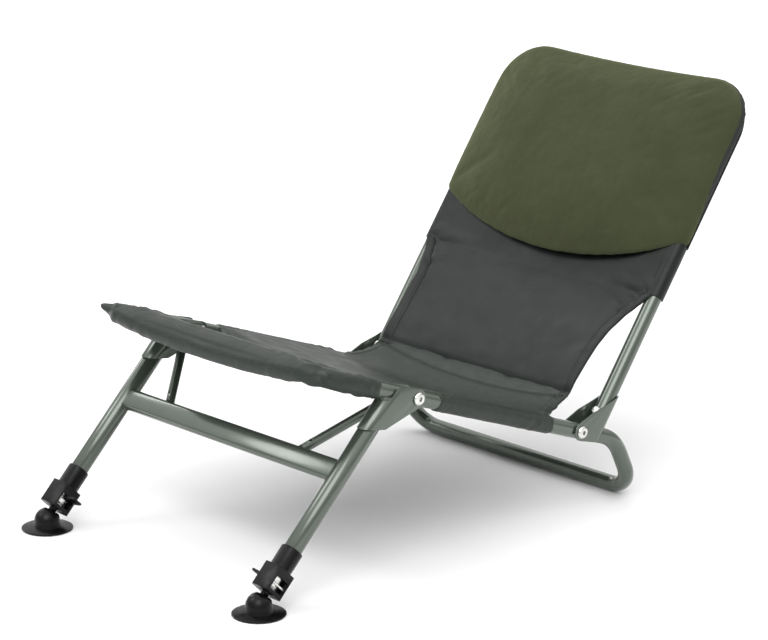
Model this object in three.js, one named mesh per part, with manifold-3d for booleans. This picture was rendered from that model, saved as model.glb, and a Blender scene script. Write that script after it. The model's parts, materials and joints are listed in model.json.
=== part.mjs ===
// Low folding chair for carp fishing: a tubular steel seat frame with a floor bar behind,
// telescopic front legs on swivelling mud feet, a hinged backrest, and a sling with a head cushion.
// Millimetres, +Z up, the front towards -Y, +X the sitter's left.
import * as THREE from "three";
import { mergeVertices } from "three/addons/utils/BufferGeometryUtils.js";
import Module from "manifold-3d";

const wasm = await Module();
wasm.setup();

// Layout of the frame, lengths in millimetres and slopes in degrees from the floor
const railSpacing = 442;
const railSlope = 19.75;
const legSlope = 45.65;
const backSlope = 54.7;
const uprightSlope = 63.6;
const backPivotHeight = 124;
const pivotSpacing = 324.5;
const frontReach = 490;
const heelReach = 84;
const legOffset = 33;
const backOffset = 33.7;
const backReach = 533;

// Steel tubes
const frameTubeRadius = 11;
const frameTubeWall = 1.2;
const legTubeRadius = 12.5;
const legTubeWall = 1.2;
const innerLegRadius = 9.5;
const innerLegWall = 1.2;
const strutRadius = 6.5;
const strutWall = 1;
const frontBendRadius = 50;
const heelBendRadius = 60;
const floorBendRadius = 45;
const topBendRadius = 60;

// Fits: the gap between pieces that touch, and the surplus by which a cutter overruns
const touchGap = 0.3;
const overrun = 4;

// Pressed steel brackets and their pivots
const bracketSheet = 1.6;
const legEarRadius = 12.6;
const backEarRadius = 12.4;
const pivotBoltRadius = 4;
const boltHeadRadius = 8.8;
const boltHeadHeight = 4;
const boltSocketRadius = 3.2;
const boltSocketDepth = 2.4;
const nutRadius = 7.4;
const nutHeight = 7;
const boltTail = 1.6;
const washerRadius = 9;

// Shares of a screw head's height and radius where its rim rounds into its crown, and of a lock
// nut's height and radius that its collar takes
const headShoulderShare = 0.35;
const headSlopeShare = 0.82;
const headCrownShare = 0.88;
const headFlatShare = 0.6;
const nutCollarHeightShare = 0.3;
const nutCollarRadiusShare = 0.84;

// Facets of round forms
const tubeSides = 14;
const boreSides = 8;
const turnedSides = 18;
const hexSides = 6;
const bendSteps = 5;
const channelSteps = 12;
const lobeSteps = 9;

const degrees = Math.PI / 180;
const halfTrack = railSpacing / 2;
const channelHalf = legTubeRadius + touchGap;
const channelOuter = channelHalf + bracketSheet;
const sides = [["left", 1], ["right", -1]];

// Materials
const finish = (color, roughness, metalness) => (
  new THREE.MeshStandardMaterial({ color, roughness, metalness })
);
const paint = finish(0x566056, 0.42, 0.55);
const zinc = finish(0xc9cac6, 0.28, 0.95);
const blackPlastic = finish(0x17181a, 0.5, 0);
const nylon = finish(0x2a2c2c, 0.55, 0);
const slingCloth = finish(0x434744, 0.78, 0);
const fleece = finish(0x4a5232, 0.95, 0);

// Solids: joining and cutting
function solidOf(geometry) {
  const bare = geometry.clone();
  bare.deleteAttribute("normal");
  bare.deleteAttribute("uv");
  const merged = mergeVertices(bare);
  return new wasm.Manifold(new wasm.Mesh({
    numProp: 3,
    vertProperties: Float32Array.from(merged.attributes.position.array),
    triVerts: Uint32Array.from(merged.index.array),
  }));
}

function geometryOf(solid) {
  const mesh = solid.getMesh();
  const geometry = new THREE.BufferGeometry();
  geometry.setAttribute("position", new THREE.BufferAttribute(Float32Array.from(mesh.vertProperties), 3));
  geometry.setIndex(Array.from(mesh.triVerts));
  geometry.computeVertexNormals();
  return geometry;
}

const join = (first, ...rest) => rest.reduce((whole, next) => whole.add(next), first);
const cut = (first, ...rest) => rest.reduce((whole, next) => whole.subtract(next), first);

// Sections and primitives, all closed
function circlePoints(radius, count) {
  return Array.from({ length: count }, (_, i) => {
    const angle = (2 * Math.PI * i) / count;
    return new THREE.Vector2(radius * Math.cos(angle), radius * Math.sin(angle));
  });
}

function ringShape(outerRadius, innerRadius) {
  const shape = new THREE.Shape(circlePoints(outerRadius, tubeSides));
  if (innerRadius > 0) shape.holes.push(new THREE.Path(circlePoints(innerRadius, boreSides)));
  return shape;
}

// An arc's points about a centre, from one angle to another in degrees
function arcPoints(centre, radius, from, to, steps) {
  return Array.from({ length: steps + 1 }, (_, i) => {
    const angle = (from + ((to - from) * i) / steps) * degrees;
    return new THREE.Vector2(centre.x + radius * Math.cos(angle), centre.y + radius * Math.sin(angle));
  });
}

function cylinder(radius, length, count = turnedSides) {
  return new THREE.CylinderGeometry(radius, radius, length, count);
}

function turned(points, count = turnedSides) {
  return new THREE.LatheGeometry(points.map(([r, y]) => new THREE.Vector2(r, y)), count);
}

function block(lowX, highX, lowY, highY, lowZ, highZ) {
  const geometry = new THREE.BoxGeometry(highX - lowX, highY - lowY, highZ - lowZ);
  return geometry.translate((lowX + highX) / 2, (lowY + highY) / 2, (lowZ + highZ) / 2);
}

// A side outline in (y, z), extruded between two places along X
function sidePlate(points, lowX, highX) {
  const shape = new THREE.Shape(points);
  const geometry = new THREE.ExtrudeGeometry(shape, { depth: highX - lowX, bevelEnabled: false });
  const turn = new THREE.Matrix4().makeBasis(
    new THREE.Vector3(0, 1, 0),
    new THREE.Vector3(0, 0, 1),
    new THREE.Vector3(1, 0, 0),
  );
  return geometry.applyMatrix4(turn).translate(lowX, 0, 0);
}

// A cross section in (x, z), extruded between two places along Y
function barAlongY(points, lowY, highY) {
  const shape = new THREE.Shape(points);
  const geometry = new THREE.ExtrudeGeometry(shape, { depth: highY - lowY, bevelEnabled: false });
  return geometry.rotateX(Math.PI / 2).translate(0, highY, 0);
}

// An outline in (x, y), extruded between two places along Z
function plateAlongZ(points, lowZ, highZ) {
  const shape = new THREE.Shape(points);
  return new THREE.ExtrudeGeometry(shape, { depth: highZ - lowZ, bevelEnabled: false }).translate(0, 0, lowZ);
}

// A closed skin over rings of equal count; each end is closed from a ring's start and end inwards
function loft(rings) {
  const count = rings[0].length;
  const positions = rings.flat().flatMap((point) => [point.x, point.y, point.z]);
  const indices = [];
  const quad = (a, b, c, d) => indices.push(a, b, c, a, c, d);
  for (let ring = 0; ring + 1 < rings.length; ring += 1) {
    for (let i = 0; i < count; i += 1) {
      const next = (i + 1) % count;
      quad(ring * count + i, ring * count + next, (ring + 1) * count + next, (ring + 1) * count + i);
    }
  }
  const last = (rings.length - 1) * count;
  for (let i = 0; i < count / 2 - 1; i += 1) {
    const far = count - 1 - i;
    quad(i, far, far - 1, i + 1);
    quad(last + i, last + i + 1, last + far - 1, last + far);
  }
  let volume = 0;
  for (let i = 0; i < indices.length; i += 3) {
    const [a, b, c] = indices.slice(i, i + 3).map((k) => new THREE.Vector3().fromArray(positions, 3 * k));
    volume += a.dot(b.cross(c));
  }
  if (volume < 0) indices.reverse();
  const geometry = new THREE.BufferGeometry();
  geometry.setAttribute("position", new THREE.Float32BufferAttribute(positions, 3));
  geometry.setIndex(indices);
  geometry.computeVertexNormals();
  return geometry;
}

// A path of stations, with rings only at the ends of its straights and round its bends
class StationPath extends THREE.Curve {
  constructor(stations) {
    super();
    this.stations = stations;
  }

  between(key, t) {
    const count = this.stations.length;
    const place = t * (count - 1);
    const index = Math.min(Math.floor(place + Number.EPSILON * count), count - 2);
    return this.stations[index][key].clone().lerp(this.stations[index + 1][key], place - index);
  }

  getPoint(t, target = new THREE.Vector3()) {
    return target.copy(this.between("point", t));
  }

  getTangent(t, target = new THREE.Vector3()) {
    return target.copy(this.between("tangent", t).normalize());
  }

  getUtoTmapping(u) {
    return u;
  }
}

// A route of straights through corners, each corner rounded by its own bend radius
function bentPath(corners, bendRadii) {
  const stations = [];
  const heading = (from, to) => to.clone().sub(from).normalize();
  corners.forEach((corner, i) => {
    if (i === 0 || i === corners.length - 1) {
      const tangent = i === 0 ? heading(corner, corners[1]) : heading(corners[i - 1], corner);
      stations.push({ point: corner.clone(), tangent });
      return;
    }
    const into = heading(corners[i - 1], corner);
    const out = heading(corner, corners[i + 1]);
    const turn = into.angleTo(out);
    const axis = into.clone().cross(out).normalize();
    const start = corner.clone().addScaledVector(into, -bendRadii[i - 1] * Math.tan(turn / 2));
    const centre = start.clone().addScaledVector(axis.clone().cross(into), bendRadii[i - 1]);
    for (let step = 0; step <= bendSteps; step += 1) {
      const angle = (turn * step) / bendSteps;
      const point = start.clone().sub(centre).applyAxisAngle(axis, angle).add(centre);
      stations.push({ point, tangent: into.clone().applyAxisAngle(axis, angle) });
    }
  });
  return new StationPath(stations);
}

function sweep(shape, path) {
  return new THREE.ExtrudeGeometry(shape, {
    steps: path.stations.length - 1,
    extrudePath: path,
    bevelEnabled: false,
  });
}

// A point given in one sloping frame about a shared origin, in another one's terms
function turnPoint(y, z, fromSlope, toSlope) {
  return new THREE.Vector2(y, z).rotateAround(new THREE.Vector2(), (fromSlope - toSlope) * degrees);
}

// Where a line from a point touches a circle about the origin, as an angle in degrees
function tangentAngle(point, radius, turn) {
  const reach = Math.acos(radius / point.length()) / degrees;
  return Math.atan2(point.y, point.x) / degrees + turn * reach;
}

// Groups: the seat frame lies in the rail frame, the legs and the backrest in frames of their own,
// each with its pivot as origin, Y along its tubes and Z out of its front
const chair = new THREE.Group();
const seatFrame = new THREE.Group();
const legFrame = new THREE.Group();
const backFrame = new THREE.Group();
chair.add(seatFrame, legFrame, backFrame);
seatFrame.rotation.x = -railSlope * degrees;
backFrame.rotation.x = backSlope * degrees;
legFrame.rotation.x = legSlope * degrees;
seatFrame.position.set(0, 0, backPivotHeight);
backFrame.position.copy(seatFrame.position);
legFrame.position.set(
  0,
  -pivotSpacing * Math.cos(railSlope * degrees),
  backPivotHeight + pivotSpacing * Math.sin(railSlope * degrees),
);

function addPiece(group, name, geometry, material, x = 0, y = 0, z = 0) {
  const mesh = new THREE.Mesh(geometry, material);
  mesh.name = name;
  mesh.position.set(x, y, z);
  group.add(mesh);
  return mesh;
}

// Seat loop: the front bar and both rails are one bent tube; the floor bar with its uprights is
// another, whose swaged ends slide into the rails under the back brackets
const spliceReach = 18;
const spigotDepth = 40;
const spigotRadius = (frameTubeRadius - frameTubeWall) * Math.cos(Math.PI / boreSides) - touchGap;
const boltHoleRadius = pivotBoltRadius + touchGap;
const fullWidth = railSpacing + channelOuter * 2;

function crossDrill(y, z, radius, reach) {
  return solidOf(cylinder(radius, reach, tubeSides).rotateZ(Math.PI / 2).translate(0, y, z));
}

const frontLoopPath = (startY, endY = startY) => bentPath([
  new THREE.Vector3(halfTrack, startY, 0),
  new THREE.Vector3(halfTrack, -frontReach, 0),
  new THREE.Vector3(-halfTrack, -frontReach, 0),
  new THREE.Vector3(-halfTrack, endY, 0),
], [frontBendRadius, frontBendRadius]);

function seatFrameTube() {
  const wall = sweep(ringShape(frameTubeRadius, frameTubeRadius - frameTubeWall), frontLoopPath(spliceReach));
  const holes = [0, -pivotSpacing].map((y) => crossDrill(y, 0, boltHoleRadius, fullWidth));
  return geometryOf(cut(solidOf(wall), ...holes));
}

function rearFootTube() {
  const start = spliceReach + touchGap;
  const drop = backPivotHeight - heelReach * Math.sin(railSlope * degrees) - frameTubeRadius;
  const uprightLength = drop / Math.sin(uprightSlope * degrees);
  const lean = (uprightSlope - railSlope) * degrees;
  const floorY = heelReach + uprightLength * Math.cos(lean);
  const floorZ = -uprightLength * Math.sin(lean);
  const path = bentPath([
    new THREE.Vector3(halfTrack, start, 0),
    new THREE.Vector3(halfTrack, heelReach, 0),
    new THREE.Vector3(halfTrack, floorY, floorZ),
    new THREE.Vector3(-halfTrack, floorY, floorZ),
    new THREE.Vector3(-halfTrack, heelReach, 0),
    new THREE.Vector3(-halfTrack, start, 0),
  ], [heelBendRadius, floorBendRadius, floorBendRadius, heelBendRadius]);
  const outer = solidOf(sweep(ringShape(frameTubeRadius, 0), path));
  const bore = solidOf(sweep(ringShape(spigotRadius - frameTubeWall, 0), path));
  const spigotEnd = start - spigotDepth;
  const rod = (radius, x, low, high) => solidOf(
    cylinder(radius, high - low, tubeSides).translate(x, (low + high) / 2, 0),
  );
  const spigots = sides.map(([, side]) => rod(spigotRadius, side * halfTrack, spigotEnd, start + overrun));
  const bores = sides.map(([, side]) => rod(
    spigotRadius - frameTubeWall, side * halfTrack, spigotEnd - overrun, start + overrun,
  ));
  const hole = crossDrill(0, 0, boltHoleRadius, fullWidth);
  return geometryOf(cut(join(outer, ...spigots), bore, ...bores, hole));
}

addPiece(seatFrame, "seat_frame_tube", seatFrameTube(), paint);
addPiece(seatFrame, "rear_foot_tube", rearFootTube(), paint);

// Pivot hardware, alike at the leg and back pivots: a socket-head bolt from outside, two nylon
// washers between ears and rail, and a lock nut inside
function pivotBolt(side) {
  const headStart = channelOuter + touchGap;
  const tailEnd = -(channelOuter + touchGap + nutHeight + boltTail);
  const crown = headStart + boltHeadHeight;
  const profile = [
    [0, tailEnd],
    [pivotBoltRadius - boltTail / 2, tailEnd],
    [pivotBoltRadius, tailEnd + boltTail / 2],
    [pivotBoltRadius, headStart],
    [boltHeadRadius, headStart],
    [boltHeadRadius, headStart + boltHeadHeight * headShoulderShare],
    [boltHeadRadius * headSlopeShare, headStart + boltHeadHeight * headCrownShare],
    [boltHeadRadius * headFlatShare, crown],
    [0, crown],
  ];
  const socket = cylinder(boltSocketRadius, boltSocketDepth + overrun, hexSides)
    .translate(0, crown - boltSocketDepth + (boltSocketDepth + overrun) / 2, 0);
  const bolt = cut(solidOf(turned(profile, tubeSides)), solidOf(socket));
  return geometryOf(bolt).rotateZ(-side * Math.PI / 2);
}

function lockNut(side) {
  const low = channelOuter + touchGap;
  const middle = low + nutHeight / 2;
  const hexHeight = nutHeight * (1 - nutCollarHeightShare);
  const hex = cylinder(nutRadius, hexHeight, hexSides).translate(0, low + hexHeight / 2, 0);
  const collar = cylinder(nutRadius * nutCollarRadiusShare, nutHeight, boreSides).translate(0, middle, 0);
  const bore = cylinder(boltHoleRadius, nutHeight + 2 * overrun, tubeSides).translate(0, middle, 0);
  return geometryOf(cut(join(solidOf(hex), solidOf(collar)), solidOf(bore))).rotateZ(side * Math.PI / 2);
}

function pivotWasher(side) {
  const inner = frameTubeRadius + touchGap;
  const outer = channelHalf - touchGap;
  const washer = cylinder(washerRadius, outer - inner, tubeSides).rotateZ(Math.PI / 2);
  washer.translate(side * (inner + outer) / 2, 0, 0);
  return geometryOf(cut(solidOf(washer), crossDrill(0, 0, boltHoleRadius, channelOuter * 2)));
}

for (const [hand, side] of sides) {
  for (const [pivot, y] of [["leg", -pivotSpacing], ["back", 0]]) {
    addPiece(seatFrame, `${pivot}_pivot_bolt_${hand}`, pivotBolt(side), zinc, side * halfTrack, y);
    addPiece(seatFrame, `${pivot}_pivot_nut_${hand}`, lockNut(side), zinc, side * halfTrack, y);
    addPiece(seatFrame, `${pivot}_outer_washer_${hand}`, pivotWasher(side), nylon, side * halfTrack, y);
    addPiece(seatFrame, `${pivot}_inner_washer_${hand}`, pivotWasher(-side), nylon, side * halfTrack, y);
  }
}

// Channel section of a bracket in (x, z): a half-round web about webZ and two straight ears
function channelSection(webZ, webSide, earZ) {
  const from = webSide > 0 ? 0 : -180;
  const to = webSide > 0 ? 180 : 0;
  const outer = arcPoints(new THREE.Vector2(0, webZ), channelOuter, from, to, channelSteps);
  const inner = arcPoints(new THREE.Vector2(0, webZ), channelHalf, to, from, channelSteps);
  const outerEnds = [new THREE.Vector2(outer.at(-1).x, earZ), new THREE.Vector2(inner[0].x, earZ)];
  const innerEnds = [new THREE.Vector2(inner.at(-1).x, earZ), new THREE.Vector2(outer[0].x, earZ)];
  return [...outer, ...outerEnds, ...inner, ...innerEnds];
}

// Front legs. Places along a leg are counted upwards from the centre of its foot's ball.
const ballCentreHeight = 15;
const clampBottom = 16.8;
const clampHeight = 34;
const collarLength = 29.7;
const legTubeTopGap = 6;
const legToRail = (legSlope + railSlope) * degrees;
const ballReach = (legFrame.position.z + legOffset * Math.cos(legSlope * degrees) - ballCentreHeight)
  / Math.sin(legSlope * degrees);
const clampTop = clampBottom + clampHeight;
const railUnderside = ballReach - (frameTubeRadius + (legOffset + legTubeRadius) * Math.cos(legToRail))
  / Math.sin(legToRail);
const legTubeBottom = clampTop + touchGap;
const legTubeTop = railUnderside - legTubeTopGap;

// The room that a bracket's web leaves for the rail, on the rail's upper or lower side
function railSpace(turn, upper) {
  const reach = 2 * (legOffset + channelOuter);
  const near = -(frameTubeRadius + touchGap);
  const room = block(-channelHalf, channelHalf, -reach, reach, near, reach);
  if (upper < 0) room.rotateX(Math.PI);
  return solidOf(room.rotateX(turn));
}

// Leg bracket: its ears hang on the pivot bolt, its web closes round the leg's front and ends
// under the rail, where it is the stop of the opened leg
const legSeamReach = 70.5;
const legSeamSlant = 9;
const earTopForward = 38;
const earTopAbove = 10;
const notchForward = 45;
const notchAbove = -3.5;
const earStepForward = 3.3;
const earStepDrop = 3.9;
const notchStepDrop = 5.5;

function legBracket() {
  const railPoint = (forward, above) => turnPoint(-forward, above, -railSlope, legSlope);
  const stopAbove = -(frameTubeRadius + touchGap);
  const seamRear = new THREE.Vector2(legSlopeSeam(legOffset - channelHalf), legOffset - channelHalf);
  const earTop = railPoint(earTopForward, earTopAbove);
  const fromAngle = tangentAngle(seamRear, legEarRadius, 1);
  const toAngle = tangentAngle(earTop, legEarRadius, -1);
  const lobe = arcPoints(new THREE.Vector2(), legEarRadius, fromAngle - 360, toAngle, lobeSteps);
  const webFront = legOffset + channelOuter + overrun;
  const outline = [
    ...lobe,
    earTop,
    railPoint(earTopForward + earStepForward, earTopAbove - earStepDrop),
    railPoint(notchForward, notchAbove),
    railPoint(notchForward + earStepForward, notchAbove - notchStepDrop),
    railPoint(notchForward + frameTubeRadius, stopAbove),
    railPoint(notchForward + legOffset + channelOuter, stopAbove),
    new THREE.Vector2(legSlopeSeam(webFront), webFront),
    seamRear,
  ];
  const plate = solidOf(sidePlate(outline, -channelOuter - overrun, channelOuter + overrun));
  const section = channelSection(legOffset, 1, -legEarRadius - overrun);
  const channel = solidOf(barAlongY(section, -ballReach, legOffset + channelOuter));
  const hole = crossDrill(0, 0, boltHoleRadius, channelOuter * 2 + overrun);
  return geometryOf(cut(plate.intersect(channel), railSpace(-legToRail, 1), hole));
}

// The bracket's lower seam slants down towards the leg's front
function legSlopeSeam(across) {
  return -legSeamReach - (legSeamSlant * (across - legOffset)) / legTubeRadius;
}

function pipe(outerRadius, wall, low, high) {
  const length = high - low;
  const outer = solidOf(cylinder(outerRadius, length, turnedSides).translate(0, (low + high) / 2, 0));
  const bore = cylinder(outerRadius - wall, length + overrun, turnedSides).translate(0, (low + high) / 2, 0);
  return geometryOf(cut(outer, solidOf(bore)));
}

// Cross tube: a flattened oval tube between the legs, its ends coped round them
const crossTubeHeight = 31;
const crossTubeDepth = 12;
const crossTubeWall = 1.5;
const crossTubeAlong = 197;
const crossTubeForward = 3;
const crossTubeEntry = 3.8;
const ovalSteps = 6;
const crossTubeY = crossTubeAlong - ballReach;
const crossTubeZ = legOffset + crossTubeForward;

function ovalPoints(height, depth) {
  const centre = height / 2 - depth / 2;
  return [
    ...arcPoints(new THREE.Vector2(centre, 0), depth / 2, -90, 90, ovalSteps),
    ...arcPoints(new THREE.Vector2(-centre, 0), depth / 2, 90, 270, ovalSteps),
  ];
}

function crossTube() {
  const end = halfTrack - crossTubeEntry;
  const wall = sidePlate(ovalPoints(crossTubeHeight, crossTubeDepth), -end, end);
  const hollow = ovalPoints(crossTubeHeight - 2 * crossTubeWall, crossTubeDepth - 2 * crossTubeWall);
  const bore = sidePlate(hollow, -end - overrun, end + overrun);
  const copes = sides.map(([, side]) => solidOf(
    cylinder(legTubeRadius + touchGap, crossTubeHeight + 2 * overrun, turnedSides)
      .translate(side * halfTrack, 0, -crossTubeForward),
  ));
  return geometryOf(cut(solidOf(wall), solidOf(bore), ...copes));
}

// Strut: a thin tube from the cross tube's upper edge, inwards of the leg, to the bracket's inner
// ear under the rail
const strutFootX = 137;
const strutFootAcross = 33;
const strutHeadY = -21;
const strutHeadAcross = 18;
const strutSurplus = 26;
const strutLip = 5;
const ventRadius = 1.8;
const ventReach = 15;

function strut(side) {
  const headX = halfTrack - channelOuter - touchGap;
  const footY = crossTubeY + crossTubeHeight / 2;
  const foot = new THREE.Vector3(side * strutFootX, footY, strutFootAcross);
  const head = new THREE.Vector3(side * headX, strutHeadY, strutHeadAcross);
  const axis = head.clone().sub(foot).normalize();
  const length = head.distanceTo(foot) + strutSurplus;
  const stand = new THREE.Quaternion().setFromUnitVectors(new THREE.Vector3(0, 1, 0), axis);
  const middle = foot.clone().add(head).multiplyScalar(0.5);
  const rod = (radius, count) => solidOf(
    cylinder(radius, length, count).applyQuaternion(stand).translate(middle.x, middle.y, middle.z),
  );
  const outer = rod(strutRadius, tubeSides);
  const bore = rod(strutRadius - strutWall, boreSides);
  const [lowX, highX] = [side * headX, side * (headX + length)].sort((a, b) => a - b);
  const earSide = block(lowX, highX, footY, length, -length, length);
  const grown = ovalPoints(crossTubeHeight + 2 * touchGap, crossTubeDepth + 2 * touchGap);
  const saddle = sidePlate(grown, -halfTrack, halfTrack).translate(0, crossTubeY, crossTubeZ);
  const below = block(-halfTrack, halfTrack, crossTubeY - crossTubeHeight, footY - strutLip, -length, length);
  const ventAt = foot.clone().addScaledVector(axis, ventReach);
  const vent = cylinder(ventRadius, 2 * strutRadius, boreSides).rotateX(Math.PI / 2)
    .translate(ventAt.x, ventAt.y, ventAt.z + strutRadius);
  return geometryOf(cut(outer, bore, solidOf(earSide), solidOf(saddle), solidOf(below), solidOf(vent)));
}

addPiece(legFrame, "cross_tube", crossTube(), paint, 0, crossTubeY, crossTubeZ);
for (const [hand, side] of sides) {
  addPiece(legFrame, `leg_bracket_${hand}`, legBracket(), paint, side * halfTrack);
  addPiece(legFrame, `leg_tube_${hand}`, pipe(legTubeRadius, legTubeWall, legTubeBottom, legTubeTop), paint,
    side * halfTrack, -ballReach, legOffset);
  addPiece(legFrame, `strut_${hand}`, strut(side), paint);
}

// Leg clamp: a moulded housing with a collar round the outer tube; a steel lock plate tilts on
// the inner leg in its window, pushed up by a coil spring and let go by a tab on the inboard side
const clampWidth = 30;
const clampDepth = 38;
const clampChamfer = 4.5;
const collarRadius = 15;
const collarLip = 1;
const windowLow = 5;
const windowHigh = 22.5;
const windowHalfDepth = 12.4;
const innerLegFit = 0.35;
const lockPlateThickness = 2.4;
const lockPlateHoleFit = 0.75;
const lockPlateTilt = 8;
const lockPlateRise = 13;
const lockPlateInset = 1;
const tabLength = 22;
const tabThickness = 6;
const tabTipThickness = 3.6;
const tabWidth = 17;

function clampHousing() {
  const x = clampWidth / 2;
  const z = clampDepth / 2;
  const section = [
    [x, z - clampChamfer], [x - clampChamfer, z], [clampChamfer - x, z], [-x, z - clampChamfer],
    [-x, clampChamfer - z], [clampChamfer - x, -z], [x - clampChamfer, -z], [x, clampChamfer - z],
  ].map(([px, pz]) => new THREE.Vector2(px, pz));
  const body = solidOf(barAlongY(section, clampBottom, clampTop));
  const top = clampTop + collarLength;
  const collar = turned([
    [0, clampTop - clampChamfer],
    [collarRadius, clampTop - clampChamfer],
    [collarRadius, top - collarLip],
    [collarRadius - collarLip, top],
    [0, top],
  ]);
  const tubeSocket = cylinder(legTubeRadius + touchGap, collarLength + overrun, turnedSides)
    .translate(0, clampTop + (collarLength + overrun) / 2, 0);
  const legBore = cylinder(innerLegRadius + innerLegFit, clampHeight + 2 * overrun, turnedSides)
    .translate(0, (clampBottom + clampTop) / 2, 0);
  const window = block(-x - overrun, x + overrun, clampBottom + windowLow, clampBottom + windowHigh,
    -windowHalfDepth, windowHalfDepth);
  return geometryOf(cut(join(body, solidOf(collar)), solidOf(tubeSocket), solidOf(legBore), solidOf(window)));
}

const lockPlateLength = clampWidth - 2 * lockPlateInset;
const lockPlateWidth = windowHalfDepth * 2 - 2 * touchGap;

// The lock plate in its own frame: X inboard from its pivoting edge, Y up the leg
function lockPlate(side) {
  const inboard = -side;
  const plate = block(0, lockPlateLength, -lockPlateThickness / 2, lockPlateThickness / 2,
    -lockPlateWidth / 2, lockPlateWidth / 2);
  const hole = cylinder(innerLegRadius + lockPlateHoleFit, lockPlateThickness + overrun, turnedSides)
    .translate(lockPlateLength / 2, 0, 0);
  const solid = geometryOf(cut(solidOf(plate), solidOf(hole)));
  return inboard > 0 ? solid : solid.rotateY(Math.PI);
}

function releaseTab(side) {
  const low = lockPlateLength + touchGap;
  const high = low + tabLength;
  const half = tabThickness / 2;
  const tip = tabTipThickness / 2;
  const outline = [
    [low, -half], [high - tip, -tip], [high, -tip / 2], [high, tip / 2], [high - tip, tip], [low, half],
  ].map(([px, py]) => new THREE.Vector2(px, py));
  const tab = plateAlongZ(outline, -tabWidth / 2, tabWidth / 2);
  return side < 0 ? tab : tab.rotateY(Math.PI);
}

// Compression spring under the lock plate, flat-wound round the inner leg
const springRadius = 11;
const springWire = 0.7;
const springTurns = 2;
const springSteps = 8;
const wireSides = 5;

function lockSpring() {
  const low = clampBottom + windowLow + touchGap + springWire;
  const high = clampBottom + lockPlateRise - lockPlateThickness / 2 - touchGap - springWire;
  const count = Math.round(springTurns * springSteps);
  const pitch = (high - low) / springTurns;
  console.log(`The spring's coils stand ${(pitch - 2 * springWire).toFixed(2)} mm apart.`);
  const stations = Array.from({ length: count + 1 }, (_, i) => {
    const angle = (2 * Math.PI * i) / springSteps;
    const y = low + ((high - low) * i) / count;
    const point = new THREE.Vector3(springRadius * Math.cos(angle), y, springRadius * Math.sin(angle));
    const tangent = new THREE.Vector3(
      -springRadius * Math.sin(angle), pitch / (2 * Math.PI), springRadius * Math.cos(angle),
    ).normalize();
    return { point, tangent };
  });
  return sweep(new THREE.Shape(circlePoints(springWire, wireSides)), new StationPath(stations));
}

// Telescopic inner leg with its guide bush, and the stud that carries the foot's ball
const innerLegLength = 172;
const bushLength = 18;
const studNeckRadius = 5.5;
const studFlangeLow = 16.4;
const studFlangeHeight = 2;
const studPlugDepth = 26;
const studEyeRadius = 6.6;
const studEyeThickness = 6;
const studWaist = 10.8;
const ballRadius = 10.5;
const ballRings = 10;
const ballPinRadius = 2.4;
const ballPinInset = 1.2;
const slotFit = 0.35;
const innerLegLow = studFlangeLow + studFlangeHeight + touchGap;

function guideBush() {
  const high = innerLegLow + innerLegLength - touchGap;
  const wallThickness = legTubeRadius - legTubeWall - innerLegRadius - touchGap - innerLegFit;
  return pipe(innerLegRadius + touchGap + wallThickness, wallThickness, high - bushLength, high);
}

function footStud() {
  const plugRadius = innerLegRadius - innerLegWall - touchGap;
  const flangeTop = studFlangeLow + studFlangeHeight;
  const top = flangeTop + studPlugDepth;
  const shaft = turned([
    [0, studWaist], [studNeckRadius, studWaist], [studNeckRadius, studFlangeLow],
    [innerLegRadius, studFlangeLow], [innerLegRadius, flangeTop], [plugRadius, flangeTop],
    [plugRadius, top - collarLip], [plugRadius - collarLip, top], [0, top],
  ]);
  const half = studEyeThickness / 2;
  const eye = sidePlate(circlePoints(studEyeRadius, tubeSides), -half, half);
  const tang = block(-half, half, 0, studWaist + studFlangeHeight / 2, -studNeckRadius, studNeckRadius);
  const hole = crossDrill(0, 0, ballPinRadius + slotFit, ballRadius * 2);
  const stud = join(solidOf(shaft), solidOf(eye), solidOf(tang).intersect(solidOf(
    cylinder(studNeckRadius, 2 * (studWaist + studFlangeHeight), tubeSides),
  )));
  return geometryOf(cut(stud, hole));
}

function footBall() {
  const ball = solidOf(new THREE.SphereGeometry(ballRadius, tubeSides, ballRings));
  const slotHalf = studEyeThickness / 2 + slotFit;
  const floor = studEyeRadius + slotFit;
  const past = ballRadius + overrun;
  const slot = block(-slotHalf, slotHalf, -floor, past, -past, past);
  const hole = crossDrill(0, 0, ballPinRadius + slotFit, ballRadius * 2 + overrun);
  return geometryOf(cut(ball, solidOf(slot), hole));
}

function ballPin() {
  return cylinder(ballPinRadius, 2 * (ballRadius - ballPinInset), boreSides).rotateZ(Math.PI / 2);
}

for (const [hand, side] of sides) {
  const x = side * halfTrack;
  addPiece(legFrame, `leg_clamp_${hand}`, clampHousing(), blackPlastic, x, -ballReach, legOffset);
  addPiece(legFrame, `lock_spring_${hand}`, lockSpring(), zinc, x, -ballReach, legOffset);
  const lever = new THREE.Group();
  lever.position.set(x + side * (lockPlateLength / 2), clampBottom + lockPlateRise - ballReach, legOffset);
  lever.rotation.z = -side * lockPlateTilt * degrees;
  legFrame.add(lever);
  addPiece(lever, `lock_plate_${hand}`, lockPlate(side), zinc);
  addPiece(lever, `release_tab_${hand}`, releaseTab(side), blackPlastic);
  const tube = pipe(innerLegRadius, innerLegWall, innerLegLow, innerLegLow + innerLegLength);
  addPiece(legFrame, `inner_leg_${hand}`, tube, zinc, x, -ballReach, legOffset);
  addPiece(legFrame, `leg_bush_${hand}`, guideBush(), nylon, x, -ballReach, legOffset);
  addPiece(legFrame, `foot_stud_${hand}`, footStud(), blackPlastic, x, -ballReach, legOffset);
  addPiece(legFrame, `foot_ball_${hand}`, footBall(), blackPlastic, x, -ballReach, legOffset);
  addPiece(legFrame, `ball_pin_${hand}`, ballPin(), zinc, x, -ballReach, legOffset);
}

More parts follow.
